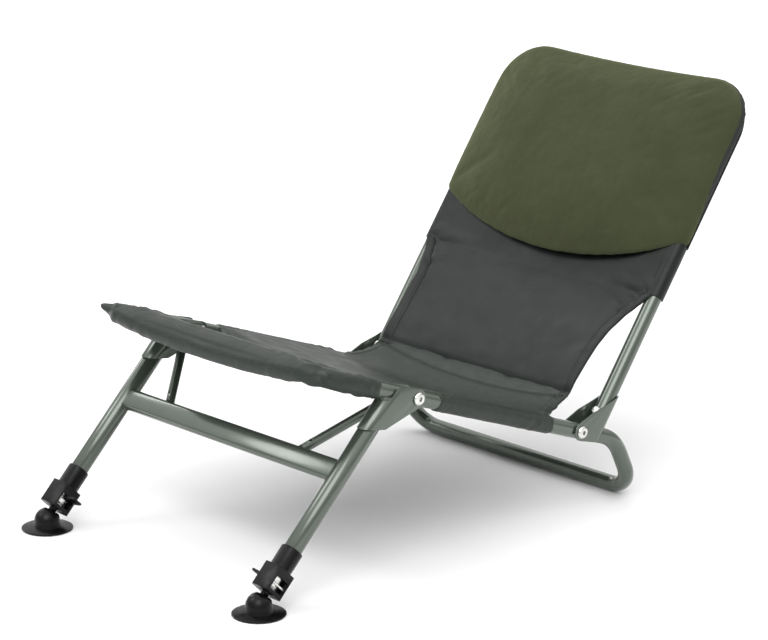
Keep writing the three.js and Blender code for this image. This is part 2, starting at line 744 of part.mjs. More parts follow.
// Mud feet: a round disc with a domed socket that traps the ball, its mouth open round the stud
const discRadius = 35;
const discEdge = 2.4;
const discHeight = 4;
const discBevel = 1;
const discSides = 24;
const domeRadius = 17.5;
const domeWaist = 12;
const footTilt = 15;
const mouthEase = 1;
const cavityRings = 12;
const crownSteps = 5;

function mudFoot() {
  const crown = Array.from({ length: crownSteps }, (_, i) => {
    const angle = ((90 * i) / crownSteps) * degrees;
    return [domeRadius * Math.cos(angle), domeWaist + domeRadius * Math.sin(angle)];
  });
  const body = turned([
    [0, 0], [discRadius - discBevel, 0], [discRadius, discBevel], [discRadius, discEdge],
    [discRadius - discBevel, discEdge + discBevel / 2], [domeRadius + discBevel, discHeight],
    ...crown, [0, domeWaist + domeRadius],
  ], discSides);
  body.rotateX(Math.PI / 2);
  const flats = Math.cos(Math.PI / tubeSides) * Math.cos(Math.PI / (2 * cavityRings));
  const cavity = new THREE.SphereGeometry((ballRadius + touchGap) / flats, tubeSides, cavityRings);
  cavity.rotateX(legSlope * degrees).translate(0, 0, ballCentreHeight);
  const mouthLength = 2 * domeRadius;
  const mouthRadius = studNeckRadius + touchGap;
  const fullTilt = Math.acos(Math.cos(footTilt * degrees) ** 2) + mouthEase * degrees;
  const mouth = new THREE.CylinderGeometry(
    mouthRadius + mouthLength * Math.tan(fullTilt), mouthRadius, mouthLength, tubeSides,
  );
  mouth.translate(0, mouthLength / 2, 0).rotateX(legSlope * degrees).translate(0, 0, ballCentreHeight);
  return geometryOf(cut(solidOf(body), solidOf(cavity), solidOf(mouth)));
}

const ballPlace = new THREE.Vector3(0, -ballReach, legOffset)
  .applyAxisAngle(new THREE.Vector3(1, 0, 0), legSlope * degrees)
  .add(legFrame.position);
for (const [hand, side] of sides) {
  addPiece(chair, `mud_foot_${hand}`, mudFoot(), blackPlastic, side * halfTrack, ballPlace.y);
}

// Backrest: an inverted U tube in two channel brackets that close round its rear side; the end of
// each web rests on the rail and is the stop of the opened back
const backTubeStart = 28;
const webTopReach = 72;
const earFrontReach = 51;
const earFrontAcross = -22.6;
const earNeckReach = 30.6;
const earNeckAcross = -4.6;
const earHeelRear = 38;
const earHeelAbove = -9.5;
const screwReach = 40;
const screwRadius = 3;
const screwHeadRadius = 6.4;
const screwHeadHeight = 2.8;
const screwNutHeight = 2.2;
const screwNutRadius = 5.6;
const railToBack = (railSlope + backSlope) * degrees;
const backWebZ = -backOffset + (channelHalf - frameTubeRadius - touchGap);

function backBracket() {
  const railPoint = (rearward, above) => turnPoint(rearward, above, -railSlope, backSlope);
  const heel = railPoint(earHeelRear, earHeelAbove);
  const neck = new THREE.Vector2(earNeckReach, earNeckAcross);
  const behind = backWebZ - channelOuter - overrun;
  const fromAngle = tangentAngle(neck, backEarRadius, 1);
  const toAngle = tangentAngle(heel, backEarRadius, -1);
  const lobe = arcPoints(new THREE.Vector2(), backEarRadius, fromAngle, toAngle + 360, lobeSteps);
  const outline = [
    ...lobe,
    heel,
    railPoint(earHeelRear + overrun, earHeelAbove + overrun),
    new THREE.Vector2(0, behind),
    new THREE.Vector2(webTopReach, behind),
    new THREE.Vector2(webTopReach, backWebZ - channelOuter / 2),
    new THREE.Vector2(earFrontReach, earFrontAcross),
    neck,
  ];
  const plate = solidOf(sidePlate(outline, -channelOuter - overrun, channelOuter + overrun));
  const section = channelSection(backWebZ, -1, backEarRadius + overrun);
  const channel = solidOf(barAlongY(section, -backOffset, 2 * webTopReach));
  const hole = crossDrill(0, 0, boltHoleRadius, channelOuter * 2 + overrun);
  const screwHole = solidOf(cylinder(screwRadius + touchGap, channelOuter + overrun, boreSides)
    .rotateX(Math.PI / 2).translate(0, screwReach, backWebZ - channelOuter));
  return geometryOf(cut(plate.intersect(channel), railSpace(-railToBack, -1), hole, screwHole));
}

const backPath = (start) => bentPath([
  new THREE.Vector3(halfTrack, start, -backOffset),
  new THREE.Vector3(halfTrack, backReach, -backOffset),
  new THREE.Vector3(-halfTrack, backReach, -backOffset),
  new THREE.Vector3(-halfTrack, start, -backOffset),
], [topBendRadius, topBendRadius]);

function backFrameTube() {
  const wall = sweep(ringShape(frameTubeRadius, frameTubeRadius - frameTubeWall), backPath(backTubeStart));
  const hole = cylinder(screwRadius + touchGap, 4 * frameTubeRadius, boreSides).rotateX(Math.PI / 2);
  const holes = sides.map(([, side]) => solidOf(
    hole.clone().translate(side * halfTrack, screwReach, -backOffset),
  ));
  return geometryOf(cut(solidOf(wall), ...holes));
}

function tubePlug() {
  const head = backTubeStart - touchGap;
  const depth = screwReach - screwRadius - 2 * touchGap;
  const radius = spigotRadius - touchGap;
  return turned([
    [0, head - discBevel], [frameTubeRadius - discBevel, head - discBevel],
    [frameTubeRadius - touchGap, head], [radius, head], [radius, depth], [0, depth],
  ], tubeSides);
}

function bracketScrew() {
  const seat = frameTubeRadius + touchGap;
  const tail = backWebZ + backOffset - channelOuter - touchGap - screwNutHeight;
  const crown = seat + screwHeadHeight;
  return turned([
    [0, tail], [screwRadius, tail], [screwRadius, seat], [screwHeadRadius, seat],
    [screwHeadRadius * headSlopeShare, seat + screwHeadHeight * headCrownShare],
    [screwHeadRadius * headFlatShare, crown], [0, crown],
  ], tubeSides).rotateX(Math.PI / 2);
}

function bracketScrewNut() {
  const top = backWebZ - channelOuter - touchGap;
  const nut = cylinder(screwNutRadius, screwNutHeight, hexSides).rotateX(Math.PI / 2);
  const hole = cylinder(screwRadius + touchGap, screwNutHeight + overrun, boreSides).rotateX(Math.PI / 2);
  return geometryOf(cut(solidOf(nut), solidOf(hole))).translate(0, 0, top - screwNutHeight / 2);
}

addPiece(backFrame, "back_frame_tube", backFrameTube(), paint);
for (const [hand, side] of sides) {
  const x = side * halfTrack;
  addPiece(backFrame, `back_bracket_${hand}`, backBracket(), paint, x);
  addPiece(backFrame, `back_tube_plug_${hand}`, tubePlug(), blackPlastic, x, 0, -backOffset);
  addPiece(backFrame, `bracket_screw_${hand}`, bracketScrew(), zinc, x, screwReach, -backOffset);
  addPiece(backFrame, `bracket_screw_nut_${hand}`, bracketScrewNut(), zinc, x, screwReach, 0);
}

// Sling: sleeves sewn round the rails and the back tube, and a padded web between them
const sleeveWall = 1.8;
const sleeveBore = frameTubeRadius + touchGap;
const sleeveRadius = sleeveBore + sleeveWall;
const rearSleeveLow = 52;
const rearSleeveHigh = 283;
const frontSleeveLow = 390;
const seatPadThickness = 7;
const seatSag = 17;
const seatSagRun = 120;
const cutInDepth = 25;
const cutInTop = 0.5;
const cutInRun = 14;
const frontRollDepth = 15.5;
const frontRollHeight = 17.5;
const frontRollSag = 5.4;
const frontRollNarrowing = 1.8;
const frontRollFlattening = 3.6;
const frontRollSteps = 10;
const rollTaper = 30;

// Places across a sheet as shares of its half width
const acrossShares = [-1, -0.85, -0.6, -0.3, 0, 0.3, 0.6, 0.85, 1];

const dish = (share) => Math.max(1 - share * share, 0);
const mix = (from, to, share) => from + (to - from) * share;
const smooth = (t) => {
  const held = Math.min(Math.max(t, 0), 1);
  return held * held * (3 - 2 * held);
};

// A web of cloth as rings, one for each row; place(u, row, face) gives its two faces for u from -1 to 1
function web(rows, place) {
  return loft(rows.map((row) => {
    const front = acrossShares.map((u) => place(u, row, 1));
    const back = acrossShares.map((u) => place(u, row, -1)).reverse();
    return [...front, ...back];
  }));
}

// Where a sheet's edges follow its frame tube round a bend: turns in degrees, and the half width at
// a distance past the bend's start
const bendTurns = [0, 20, 40, 60, 75, 90];
const bentRows = (start, radius) => bendTurns.map((turn) => start + radius * Math.sin(turn * degrees));
const bentHalf = (past, radius) => (
  halfTrack - radius + Math.sqrt(Math.max(radius ** 2 - Math.max(past, 0) ** 2, 0))
);

// Rows of the seat's sheet as [place forward, how far its edges are cut in]: its edges are held in
// the sleeves, and between these they are cut in past the leg brackets and their pivots
const seatRows = [
  [rearSleeveLow, 0],
  [(rearSleeveLow + rearSleeveHigh) / 2, 0],
  [rearSleeveHigh - cutInRun, 0],
  [rearSleeveHigh + cutInRun, 1],
  [frontSleeveLow - cutInRun, 1],
  [frontSleeveLow + cutInRun, 0],
  ...bentRows(frontReach - frontBendRadius, frontBendRadius).map((forward) => [forward, 0]),
];

function seatSling() {
  const sleeveTop = sleeveRadius - touchGap;
  const sheet = web(seatRows, (u, [forward, cutIn], face) => {
    const held = bentHalf(forward - frontReach + frontBendRadius, frontBendRadius) - touchGap;
    const half = mix(held, halfTrack - cutInDepth, cutIn);
    const edge = mix(sleeveTop, cutInTop, cutIn);
    const middle = sleeveTop - seatSag * smooth((frontReach - forward) / seatSagRun);
    const z = mix(edge, middle, dish(u)) - (face < 0 ? seatPadThickness : 0);
    return new THREE.Vector3(u * half, -forward, z);
  });
  const rollStations = Array.from({ length: frontRollSteps + 1 }, (_, i) => (2 * i) / frontRollSteps - 1);
  const roll = loft(rollStations.map((u) => circlePoints(1, tubeSides).map((p) => new THREE.Vector3(
    u * (halfTrack - rollTaper),
    -frontReach + p.x * (frontRollDepth - frontRollNarrowing * Math.abs(u)),
    -frontRollSag * dish(u) + p.y * (frontRollHeight - frontRollFlattening * Math.abs(u)),
  ))));
  const tubeShape = ringShape(sleeveRadius, 0);
  const rearSleeves = sides.map(([, side]) => solidOf(sweep(tubeShape, bentPath([
    new THREE.Vector3(side * halfTrack, -rearSleeveLow, 0),
    new THREE.Vector3(side * halfTrack, -rearSleeveHigh, 0),
  ], []))));
  const frontSleeve = solidOf(sweep(tubeShape, frontLoopPath(-frontSleeveLow)));
  const tubeSpace = solidOf(sweep(ringShape(sleeveBore, 0), frontLoopPath(0)));
  return geometryOf(cut(join(solidOf(sheet), solidOf(roll), frontSleeve, ...rearSleeves), tubeSpace));
}

// The free part of the sling between the rails' sleeves and the back's, in the backrest's frame
const slingThickness = 4.5;
const seamReach = 44;
const seamAcross = 7;
const backSleeveLow = 218.8;
const backSag = 12;
const backSagRun = 130;

// Its rows as shares [reach, offset, half width]: of the seat's rear edge and half the track up to
// the seam, then of the seam's place and half the track, and last its half width at the back
const lowerRowShares = [[1, 1, 0.94], [0.72, 1.35, 0.915], [0.4, 2.25, 0.885], [0.12, 3.5, 0.865]];
const upperRowShares = [
  [1, 1, 0.86], [1.5, 0.85, 0.866], [2.3, 0.35, 0.885], [3.2, -0.5, 0.915], [4.2, -2, 0.935],
];
const lastRowShare = 0.94;

function freeSlingRows() {
  const start = rearSleeveLow - touchGap;
  const level = sleeveRadius - touchGap - seatPadThickness / 2;
  const lower = lowerRowShares.map(([forwardShare, aboveShare, widthShare]) => {
    const point = turnPoint(-start * forwardShare, level * aboveShare, -railSlope, backSlope);
    return [point.x, point.y, halfTrack * widthShare];
  });
  const upper = upperRowShares.map(([reachShare, acrossShare, widthShare]) => [
    seamReach * reachShare, seamAcross * acrossShare, halfTrack * widthShare,
  ]);
  const lastAcross = -backOffset + sleeveRadius - touchGap - slingThickness / 2;
  return [...lower, ...upper, [backSleeveLow - touchGap, lastAcross, halfTrack * lastRowShare]];
}

function freeSling() {
  const rows = freeSlingRows();
  return web(rows.map((_, i) => i), (u, i, face) => {
    const [reach, across, half] = rows[i];
    const [lowReach, lowAcross] = rows[Math.max(i - 1, 0)];
    const [highReach, highAcross] = rows[Math.min(i + 1, rows.length - 1)];
    const along = new THREE.Vector2(highReach - lowReach, highAcross - lowAcross).normalize();
    if (i === 0) along.copy(turnPoint(1, 0, -railSlope, backSlope));
    if (i === rows.length - 1) along.set(1, 0);
    const sag = dish(u) * mix(seatSag, backSag, smooth(i / (rows.length - 1)));
    const off = face * slingThickness / 2 - sag;
    return new THREE.Vector3(u * half, reach - along.y * off, across + along.x * off);
  });
}

// Back sling: a sleeve over the back tube and its top bar, and the web between, whose edges follow
// the tube round its upper bends
const straightShares = [0, 0.33, 0.67];

function backSling() {
  const bendStart = backReach - topBendRadius;
  const straightRows = straightShares.map((share) => mix(backSleeveLow, bendStart, share));
  const sheet = web([...straightRows, ...bentRows(bendStart, topBendRadius)], (u, reach, face) => {
    const sag = backSag * dish(u) * smooth((backReach - reach) / backSagRun);
    const half = bentHalf(reach - bendStart, topBendRadius);
    const z = -backOffset + sleeveRadius - touchGap - sag - (face < 0 ? slingThickness : 0);
    return new THREE.Vector3(u * half, reach, z);
  });
  const sleeve = solidOf(sweep(ringShape(sleeveRadius, 0), backPath(backSleeveLow)));
  const tubeSpace = solidOf(sweep(ringShape(sleeveBore, 0), backPath(backSleeveLow - overrun)));
  return geometryOf(cut(join(solidOf(sheet), sleeve), tubeSpace));
}

// Head cushion and the cloth pocket behind it: they meet in a seam along the frame's sides, where
// both close round the back's sleeve
const pocketWall = 1.3;
const pocketLow = 300;
const seamAcrossTop = -38;
const cushionLow = 304;
const cushionDrop = 60;
const cushionPuff = 23;
const cushionWall = 2.4;
const cushionRise = 7;
const cushionTopSag = 8;
const cushionLowRound = 22;
const cushionLowEdge = 4;
const pocketInside = sleeveRadius + touchGap;

// Places across the cushion between its corners and up it, as shares; the turns of its rounded
// edge and of its corners are added to them
const innerAcrossShares = [-0.6, -0.3, 0, 0.3, 0.6];
const innerUpShares = [0.15, 0.3, 0.5, 0.7, 0.87];
const edgeTurns = [0, 30, 60, 90];
const cornerTurns = [50, 70, 90];
const puffPower = 4;
const puffSoftness = 0.9;
const dropPower = 0.85;

function topOutline(half, top, low, radius) {
  const corner = new THREE.Vector2(half - radius, top - radius);
  return [
    new THREE.Vector2(half, low),
    ...arcPoints(corner, radius, 0, 90, bendSteps),
    ...arcPoints(new THREE.Vector2(-corner.x, corner.y), radius, 90, 180, bendSteps),
    new THREE.Vector2(-half, low),
  ];
}

// The room of the back tube's sleeve of a radius with the sheet inside it, between two places along Z
function sleevedFrame(radius, low, lowZ, highZ) {
  const sleeve = solidOf(sweep(ringShape(radius, 0), backPath(low)));
  const outline = topOutline(halfTrack, backReach, low, topBendRadius);
  const band = solidOf(block(-railSpacing, railSpacing, low, backReach + railSpacing, lowZ, highZ));
  return join(sleeve.intersect(band), solidOf(plateAlongZ(outline, lowZ, highZ)));
}

function cushionPocket() {
  const radius = pocketInside + pocketWall;
  const outer = sleevedFrame(radius, pocketLow, -backOffset - radius, seamAcrossTop - touchGap);
  const inner = sleevedFrame(pocketInside, pocketLow - overrun, -backOffset - pocketInside, 0);
  return geometryOf(cut(outer, inner));
}

function headCushion() {
  const radius = pocketInside + cushionWall;
  const half = halfTrack + radius;
  const top = backReach + radius + cushionRise;
  const corner = topBendRadius + radius;
  const edges = edgeTurns.map((turn) => radius * (1 - Math.cos(turn * degrees)));
  const level = half - corner;
  const outerXs = [
    ...edges.map((edge) => half - edge),
    ...cornerTurns.map((turn) => level + corner * Math.cos(turn * degrees)),
  ];
  const xs = [
    ...outerXs.map((x) => -x),
    ...innerAcrossShares.map((share) => share * level),
    ...outerXs.reverse(),
  ];
  const upShares = [0, ...innerUpShares, 1];
  const rows = [
    ...upShares.map((share) => ({ share, edge: radius })),
    ...edges.slice(0, -1).reverse().map((edge) => ({ share: 1, edge })),
  ];
  const lowAt = (x) => cushionLow - cushionDrop * dish(x / half) ** dropPower;
  const cornerAt = (x) => top - corner - cushionTopSag * dish(x / half);
  const topAt = (x) => {
    const past = Math.max(Math.abs(x) - level, 0);
    return cornerAt(x) + Math.sqrt(Math.max(corner ** 2 - past ** 2, 0));
  };
  const base = -backOffset + pocketInside;
  const rim = base + cushionLowEdge;
  const heightAt = (x, y) => {
    const side = Math.max(Math.abs(x) - level, 0);
    const up = Math.max(y - cornerAt(x), 0);
    const inside = corner - Math.hypot(side, up);
    const turn = 1 - Math.min(Math.max(inside, 0) / radius, 1);
    const v = (2 * (y - lowAt(x))) / (topAt(x) - lowAt(x)) - 1;
    const swell = (1 - Math.abs(x / half) ** puffPower) * (1 - Math.abs(v) ** puffPower);
    const full = radius * Math.sqrt(1 - turn * turn) + cushionPuff * swell ** puffSoftness - backOffset;
    const low = Math.sqrt(dish(1 - Math.min((y - lowAt(x)) / cushionLowRound, 1)));
    return full < rim ? full : rim + (full - rim) * low;
  };
  const skin = loft(rows.map(({ share, edge }) => {
    const place = (x, face) => {
      const high = topAt(x) - edge;
      const y = mix(lowAt(x), high, share);
      return new THREE.Vector3(x, y, face > 0 ? heightAt(x, y) : seamAcrossTop);
    };
    return [...xs.map((x) => place(x, 1)), ...xs.map((x) => place(x, -1)).reverse()];
  }));
  const inner = sleevedFrame(pocketInside, pocketLow - cushionDrop - overrun, seamAcrossTop - overrun, base);
  return geometryOf(cut(solidOf(skin), inner));
}

addPiece(seatFrame, "seat_sling", seatSling(), slingCloth);
addPiece(backFrame, "lower_back_sling", freeSling(), slingCloth);
addPiece(backFrame, "back_sling", backSling(), slingCloth);
addPiece(backFrame, "cushion_pocket", cushionPocket(), slingCloth);
addPiece(backFrame, "head_cushion", headCushion(), fleece);

// The origin: on the floor, under the middle of the whole chair's bounding box
const millimetresPerMetre = 1000;
chair.updateMatrixWorld(true);
const bounds = new THREE.Box3().setFromObject(chair, true);
const shiftY = -(bounds.min.y + bounds.max.y) / 2;
const whole = new THREE.Group();
chair.position.y = shiftY;
whole.add(chair);
whole.updateMatrixWorld(true);
for (const [name, group, point] of [
  ["back pivot", backFrame, new THREE.Vector3()],
  ["leg pivot", legFrame, new THREE.Vector3()],
  ["ball", legFrame, new THREE.Vector3(halfTrack, -ballReach, legOffset)],
  ["lock lever", legFrame, new THREE.Vector3(
    halfTrack + lockPlateLength / 2, clampBottom + lockPlateRise - ballReach, legOffset)],
]) {
  const place = group.localToWorld(point.clone()).toArray().map((v) => (v / millimetresPerMetre).toFixed(5));
  console.log(`${name} at ${place.join(", ")} m`);
}
const size = bounds.getSize(new THREE.Vector3());
const sizeText = size.toArray().map((v) => v.toFixed(1)).join(" x ");
console.log(`size ${sizeText} mm, lowest ${bounds.min.z.toFixed(3)}`);

export default whole;
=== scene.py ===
import json
import math

import bmesh
import bpy
from mathutils import Matrix, Vector, noise


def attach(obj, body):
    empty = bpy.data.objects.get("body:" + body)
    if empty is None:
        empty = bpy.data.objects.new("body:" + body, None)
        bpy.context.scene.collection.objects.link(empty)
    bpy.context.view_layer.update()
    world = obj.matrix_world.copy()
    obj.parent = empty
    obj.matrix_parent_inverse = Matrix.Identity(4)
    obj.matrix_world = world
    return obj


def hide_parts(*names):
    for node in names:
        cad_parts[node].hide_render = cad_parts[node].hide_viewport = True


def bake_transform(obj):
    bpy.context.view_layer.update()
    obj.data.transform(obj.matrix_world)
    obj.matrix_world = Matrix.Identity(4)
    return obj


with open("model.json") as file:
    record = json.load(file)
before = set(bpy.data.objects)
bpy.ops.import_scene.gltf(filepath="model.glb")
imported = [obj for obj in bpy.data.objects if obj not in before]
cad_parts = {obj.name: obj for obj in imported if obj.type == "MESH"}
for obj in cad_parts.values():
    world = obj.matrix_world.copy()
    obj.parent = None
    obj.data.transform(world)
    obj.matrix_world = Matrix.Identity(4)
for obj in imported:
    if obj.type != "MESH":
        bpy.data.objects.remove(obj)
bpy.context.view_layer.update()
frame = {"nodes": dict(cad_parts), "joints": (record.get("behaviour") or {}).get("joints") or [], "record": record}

# Sizes in millimetres and slopes in degrees, as in the part's source
MM = 0.001
IMAGE_WIDTH = 768

# Frame tube: half its track, its radius and wall, and the reach and the bends of the seat's loop and
# the back's, with the back's offset behind its pivot
HALF_TRACK = 221
TUBE = 11
TUBE_WALL = 1.2
FRONT_REACH = 490
FRONT_BEND = 50
TOP_BEND = 60
BACK_OFFSET = 33.7
BACK_REACH = 533
BACK_TUBE_START = 28
BACK_SLOPE = 54.7

# Sleeves: the radius of the tube's room in them and of their cloth, and where they start and end; and
# how far the seat is cut in between them
SLEEVE_ROOM = 11.3
SLEEVE = 13.1
REAR_SLEEVE = (52, 283)
FRONT_SLEEVE_LOW = 390
BACK_SLEEVE_LOW = 218.8
CUT_IN = 25

# Seam of seat and back: how far forward of the back pivot, how high over the rails, and half its width
SEAM = (-5, 44, 190)


# The frame's planes: each has an origin and a slope, and counts along it and across it
class Plane:
    def __init__(self, joint, slope):
        self.origin = next(Vector(j["pos_m"]) for j in frame["joints"] if j["name"] == joint)
        self.slope = math.radians(slope)

    def matrix(self):
        return Matrix.Translation(self.origin) @ Matrix.Rotation(self.slope, 4, "X")

    def at(self, x, along, across):
        return self.matrix() @ (Vector((x, along, across)) * MM)


back_pivot = Plane("backrest_fold", 0).origin
leg_pivot = Plane("front_leg_fold", 0).origin
RAIL_SLOPE = math.degrees(math.atan2(leg_pivot.z - back_pivot.z, back_pivot.y - leg_pivot.y))
rail = Plane("backrest_fold", -RAIL_SLOPE)
back = Plane("backrest_fold", BACK_SLOPE)


def on_rail(x, forward, above):
    return rail.at(x, -forward, above)


def smooth(t):
    t = min(max(t, 0.0), 1.0)
    return t * t * (3 - 2 * t)


def mix(a, b, t):
    return a + (b - a) * t


def dish(share):
    return max(1 - share * share, 0)


# A value read between the rows of a table, each of them a place and its values, along a smooth line
def along_table(rows, place, column=1):
    if place <= rows[0][0] or place >= rows[-1][0]:
        return rows[0 if place <= rows[0][0] else -1][column]
    at = next(i for i in range(1, len(rows)) if place <= rows[i][0])
    low, high, step = rows[at - 1], rows[at], rows[at][0] - rows[at - 1][0]
    before, after = rows[max(at - 2, 0)], rows[min(at + 1, len(rows) - 1)]
    leave = step * (high[column] - before[column]) / (high[0] - before[0])
    arrive = step * (after[column] - low[column]) / (after[0] - low[0])
    t = (place - low[0]) / step
    return mix(low[column], high[column], smooth(t)) + leave * t * (1 - t) ** 2 - arrive * t * t * (1 - t)


# Materials: each is built from one principled shader and a few node helpers
def material(name, color, roughness, metallic=0.0, **extra):
    mat = bpy.data.materials.new(name)
    mat.use_nodes = True
    shader = mat.node_tree.nodes["Principled BSDF"]
    shader.inputs["Base Color"].default_value = (*color, 1)
    shader.inputs["Roughness"].default_value = roughness
    shader.inputs["Metallic"].default_value = metallic
    for key, value in extra.items():
        shader.inputs[key.replace("_", " ")].default_value = value
    return mat


def add_node(mat, kind, **values):
    node = mat.node_tree.nodes.new(kind)
    for key, value in values.items():
        if key in node.inputs:
            node.inputs[key].default_value = value
        else:
            setattr(node, key, value)
    return node


def link(mat, source, target):
    mat.node_tree.links.new(source, target)


def coordinates(mat, turn=0.0):
    place = add_node(mat, "ShaderNodeTexCoord")
    mapping = add_node(mat, "ShaderNodeMapping")
    mapping.inputs["Rotation"].default_value = (math.radians(turn), 0, 0)
    link(mat, place.outputs["Object"], mapping.inputs["Vector"])
    return mapping.outputs["Vector"]


def noise_of(mat, vector, scale, detail=3.0, roughness=0.5):
    node = add_node(mat, "ShaderNodeTexNoise", Scale=scale, Detail=detail, Roughness=roughness)
    link(mat, vector, node.inputs["Vector"])
    return node.outputs["Fac"]


def ramp(mat, fac, stops):
    node = add_node(mat, "ShaderNodeValToRGB")
    link(mat, fac, node.inputs["Fac"])
    elements = node.color_ramp.elements
    while len(elements) < len(stops):
        elements.new(0.5)
    for element, (position, value) in zip(elements, stops):
        element.position = position
        color = value if isinstance(value, tuple) else (value, value, value)
        element.color = (*color, 1)
    return node.outputs["Color"]


def multiplied(mat, first, second):
    node = add_node(mat, "ShaderNodeMix", data_type="RGBA", blend_type="MULTIPLY")
    node.inputs["Factor"].default_value = 1.0
    link(mat, first, node.inputs["A"])
    link(mat, second, node.inputs["B"])
    return node.outputs["Result"]


# Painted shade: an ambient-occlusion node darkens the colour in hollows, joints and creases, where shade falls
def painted_hollow_shade(mat, distance, dark):
    node = add_node(mat, "ShaderNodeAmbientOcclusion", only_local=True, samples=8, Distance=distance)
    return ramp(mat, node.outputs["AO"], [(0.35, dark), (0.85, 1.0)])


def bump(mat, height, strength, distance, under=None):
    node = add_node(mat, "ShaderNodeBump", Strength=strength, Distance=distance)
    link(mat, height, node.inputs["Height"])
    if under is not None:
        link(mat, under, node.inputs["Normal"])
    return node.outputs["Normal"]


def set_input(mat, name, output):
    link(mat, output, mat.node_tree.nodes["Principled BSDF"].inputs[name])


def frame_paint():
    mat = material("frame_paint", (0.06, 0.074, 0.06), 0.3, 0.55, Coat_Weight=0.6, Coat_Roughness=0.13)
    vector = coordinates(mat)
    broad = ramp(mat, noise_of(mat, vector, 22, 4), [(0.3, (0.074, 0.09, 0.073)),
                                                     (0.7, (0.086, 0.105, 0.085))])
    # The paint's colour carries painted shade in its hollows and at its joints
    set_input(mat, "Base Color", multiplied(mat, broad, painted_hollow_shade(mat, 0.006, 0.35)))
    set_input(mat, "Roughness", ramp(mat, noise_of(mat, vector, 90, 5), [(0.25, 0.2), (0.75, 0.26)]))
    set_input(mat, "Normal", bump(mat, noise_of(mat, vector, 1300, 2), 0.05, 0.0001))
    return mat


def bright_metal():
    mat = material("bright_zinc", (0.72, 0.72, 0.7), 0.28, 1.0)
    vector = coordinates(mat)
    tone = ramp(mat, noise_of(mat, vector, 260, 5), [(0.3, (0.5, 0.5, 0.48)), (0.65, (0.78, 0.78, 0.76))])
    # The zinc's colour carries painted shade, nearly black, in its hex sockets and other hollows
    set_input(mat, "Base Color", multiplied(mat, tone, painted_hollow_shade(mat, 0.004, 0.04)))
    set_input(mat, "Roughness", ramp(mat, noise_of(mat, vector, 700, 4), [(0.3, 0.18), (0.7, 0.36)]))
    set_input(mat, "Normal", bump(mat, noise_of(mat, vector, 1500, 2), 0.1, 0.0001))
    return mat


def moulded(name, color, roughness):
    mat = material(name, color, roughness, 0.0, Specular_IOR_Level=0.2)
    vector = coordinates(mat)
    dusty = tuple(1.7 * c + 0.0012 for c in color)
    set_input(mat, "Base Color", ramp(mat, noise_of(mat, vector, 60, 6), [(0.35, color), (0.8, dusty)]))
    set_input(mat, "Roughness", ramp(mat, noise_of(mat, vector, 150, 4), [(0.3, roughness - 0.08),
                                                                          (0.7, roughness + 0.1)]))
    set_input(mat, "Normal", bump(mat, noise_of(mat, vector, 1400, 3), 0.15, 0.0001))
    return mat


# Woven cloth: dark and light are the colours between its threads and on them
def woven(name, dark, light, roughness, turn, sheen, gloss):
    mat = material(name, light, roughness, 0.0, Sheen_Weight=sheen, Sheen_Roughness=0.35,
                   Specular_IOR_Level=gloss)
    vector = coordinates(mat, turn)
    threads = []
    for direction in ("X", "Y"):
        wave = add_node(mat, "ShaderNodeTexWave", Scale=420.0, Distortion=0.6, Detail=1.0)
        wave.bands_direction = direction
        link(mat, vector, wave.inputs["Vector"])
        threads.append(wave.outputs["Fac"])
    weave = add_node(mat, "ShaderNodeMath", operation="MULTIPLY")
    link(mat, threads[0], weave.inputs[0])
    link(mat, threads[1], weave.inputs[1])
    tone = add_node(mat, "ShaderNodeMix", data_type="RGBA")
    link(mat, noise_of(mat, vector, 9, 5, 0.55), tone.inputs["Factor"])
    link(mat, ramp(mat, weave.outputs[0], [(0.0, dark), (0.6, light)]), tone.inputs["A"])
    tone.inputs["B"].default_value = (*(mix(d, l, 0.35) for d, l in zip(dark, light)), 1)
    # The cloth's colour carries painted shade in its creases and hollows
    set_input(mat, "Base Color", multiplied(mat, tone.outputs["Result"], painted_hollow_shade(mat, 0.012, 0.5)))
    set_input(mat, "Roughness", ramp(mat, noise_of(mat, vector, 35, 4), [(0.3, roughness - 0.05),
                                                                         (0.7, roughness + 0.07)]))
    crumple = bump(mat, noise_of(mat, vector, 42, 4, 0.6), 0.3, 0.0014)
    set_input(mat, "Normal", bump(mat, weave.outputs[0], 0.35, 0.00018, crumple))
    return mat


def fleece():
    mat = material("olive_fleece", (0.06, 0.068, 0.024), 0.95, 0.0, Sheen_Weight=0.35, Sheen_Roughness=0.5,
                   Specular_IOR_Level=0.1)
    mat.node_tree.nodes["Principled BSDF"].inputs["Sheen Tint"].default_value = (0.5, 0.55, 0.32, 1)
    vector = coordinates(mat)
    patches = ramp(mat, noise_of(mat, vector, 14, 6, 0.6), [(0.35, (0.03, 0.0355, 0.0175)),
                                                            (0.68, (0.043, 0.049, 0.0245))])
    pile = noise_of(mat, vector, 900, 4, 0.7)
    tone = add_node(mat, "ShaderNodeMix", data_type="RGBA")
    tone.inputs["Factor"].default_value = 0.4
    link(mat, patches, tone.inputs["A"])
    link(mat, ramp(mat, pile, [(0.3, (0.022, 0.026, 0.0125)), (0.7, (0.054, 0.06, 0.031))]), tone.inputs["B"])
    set_input(mat, "Base Color", tone.outputs["Result"])
    nap = bump(mat, noise_of(mat, vector, 70, 5, 0.6), 0.35, 0.001)
    set_input(mat, "Normal", bump(mat, pile, 0.6, 0.0005, nap))
    return mat


PAINT = frame_paint()
ZINC = bright_metal()
BLACK = moulded("black_plastic", (0.0015, 0.0015, 0.0018), 0.28)
NYLON = moulded("black_nylon", (0.012, 0.012, 0.012), 0.45)
SEAT_CLOTH = woven("seat_nylon", (0.0085, 0.0135, 0.0092), (0.018, 0.0255, 0.019), roughness=0.45,
                   turn=RAIL_SLOPE, sheen=0.02, gloss=0.4)
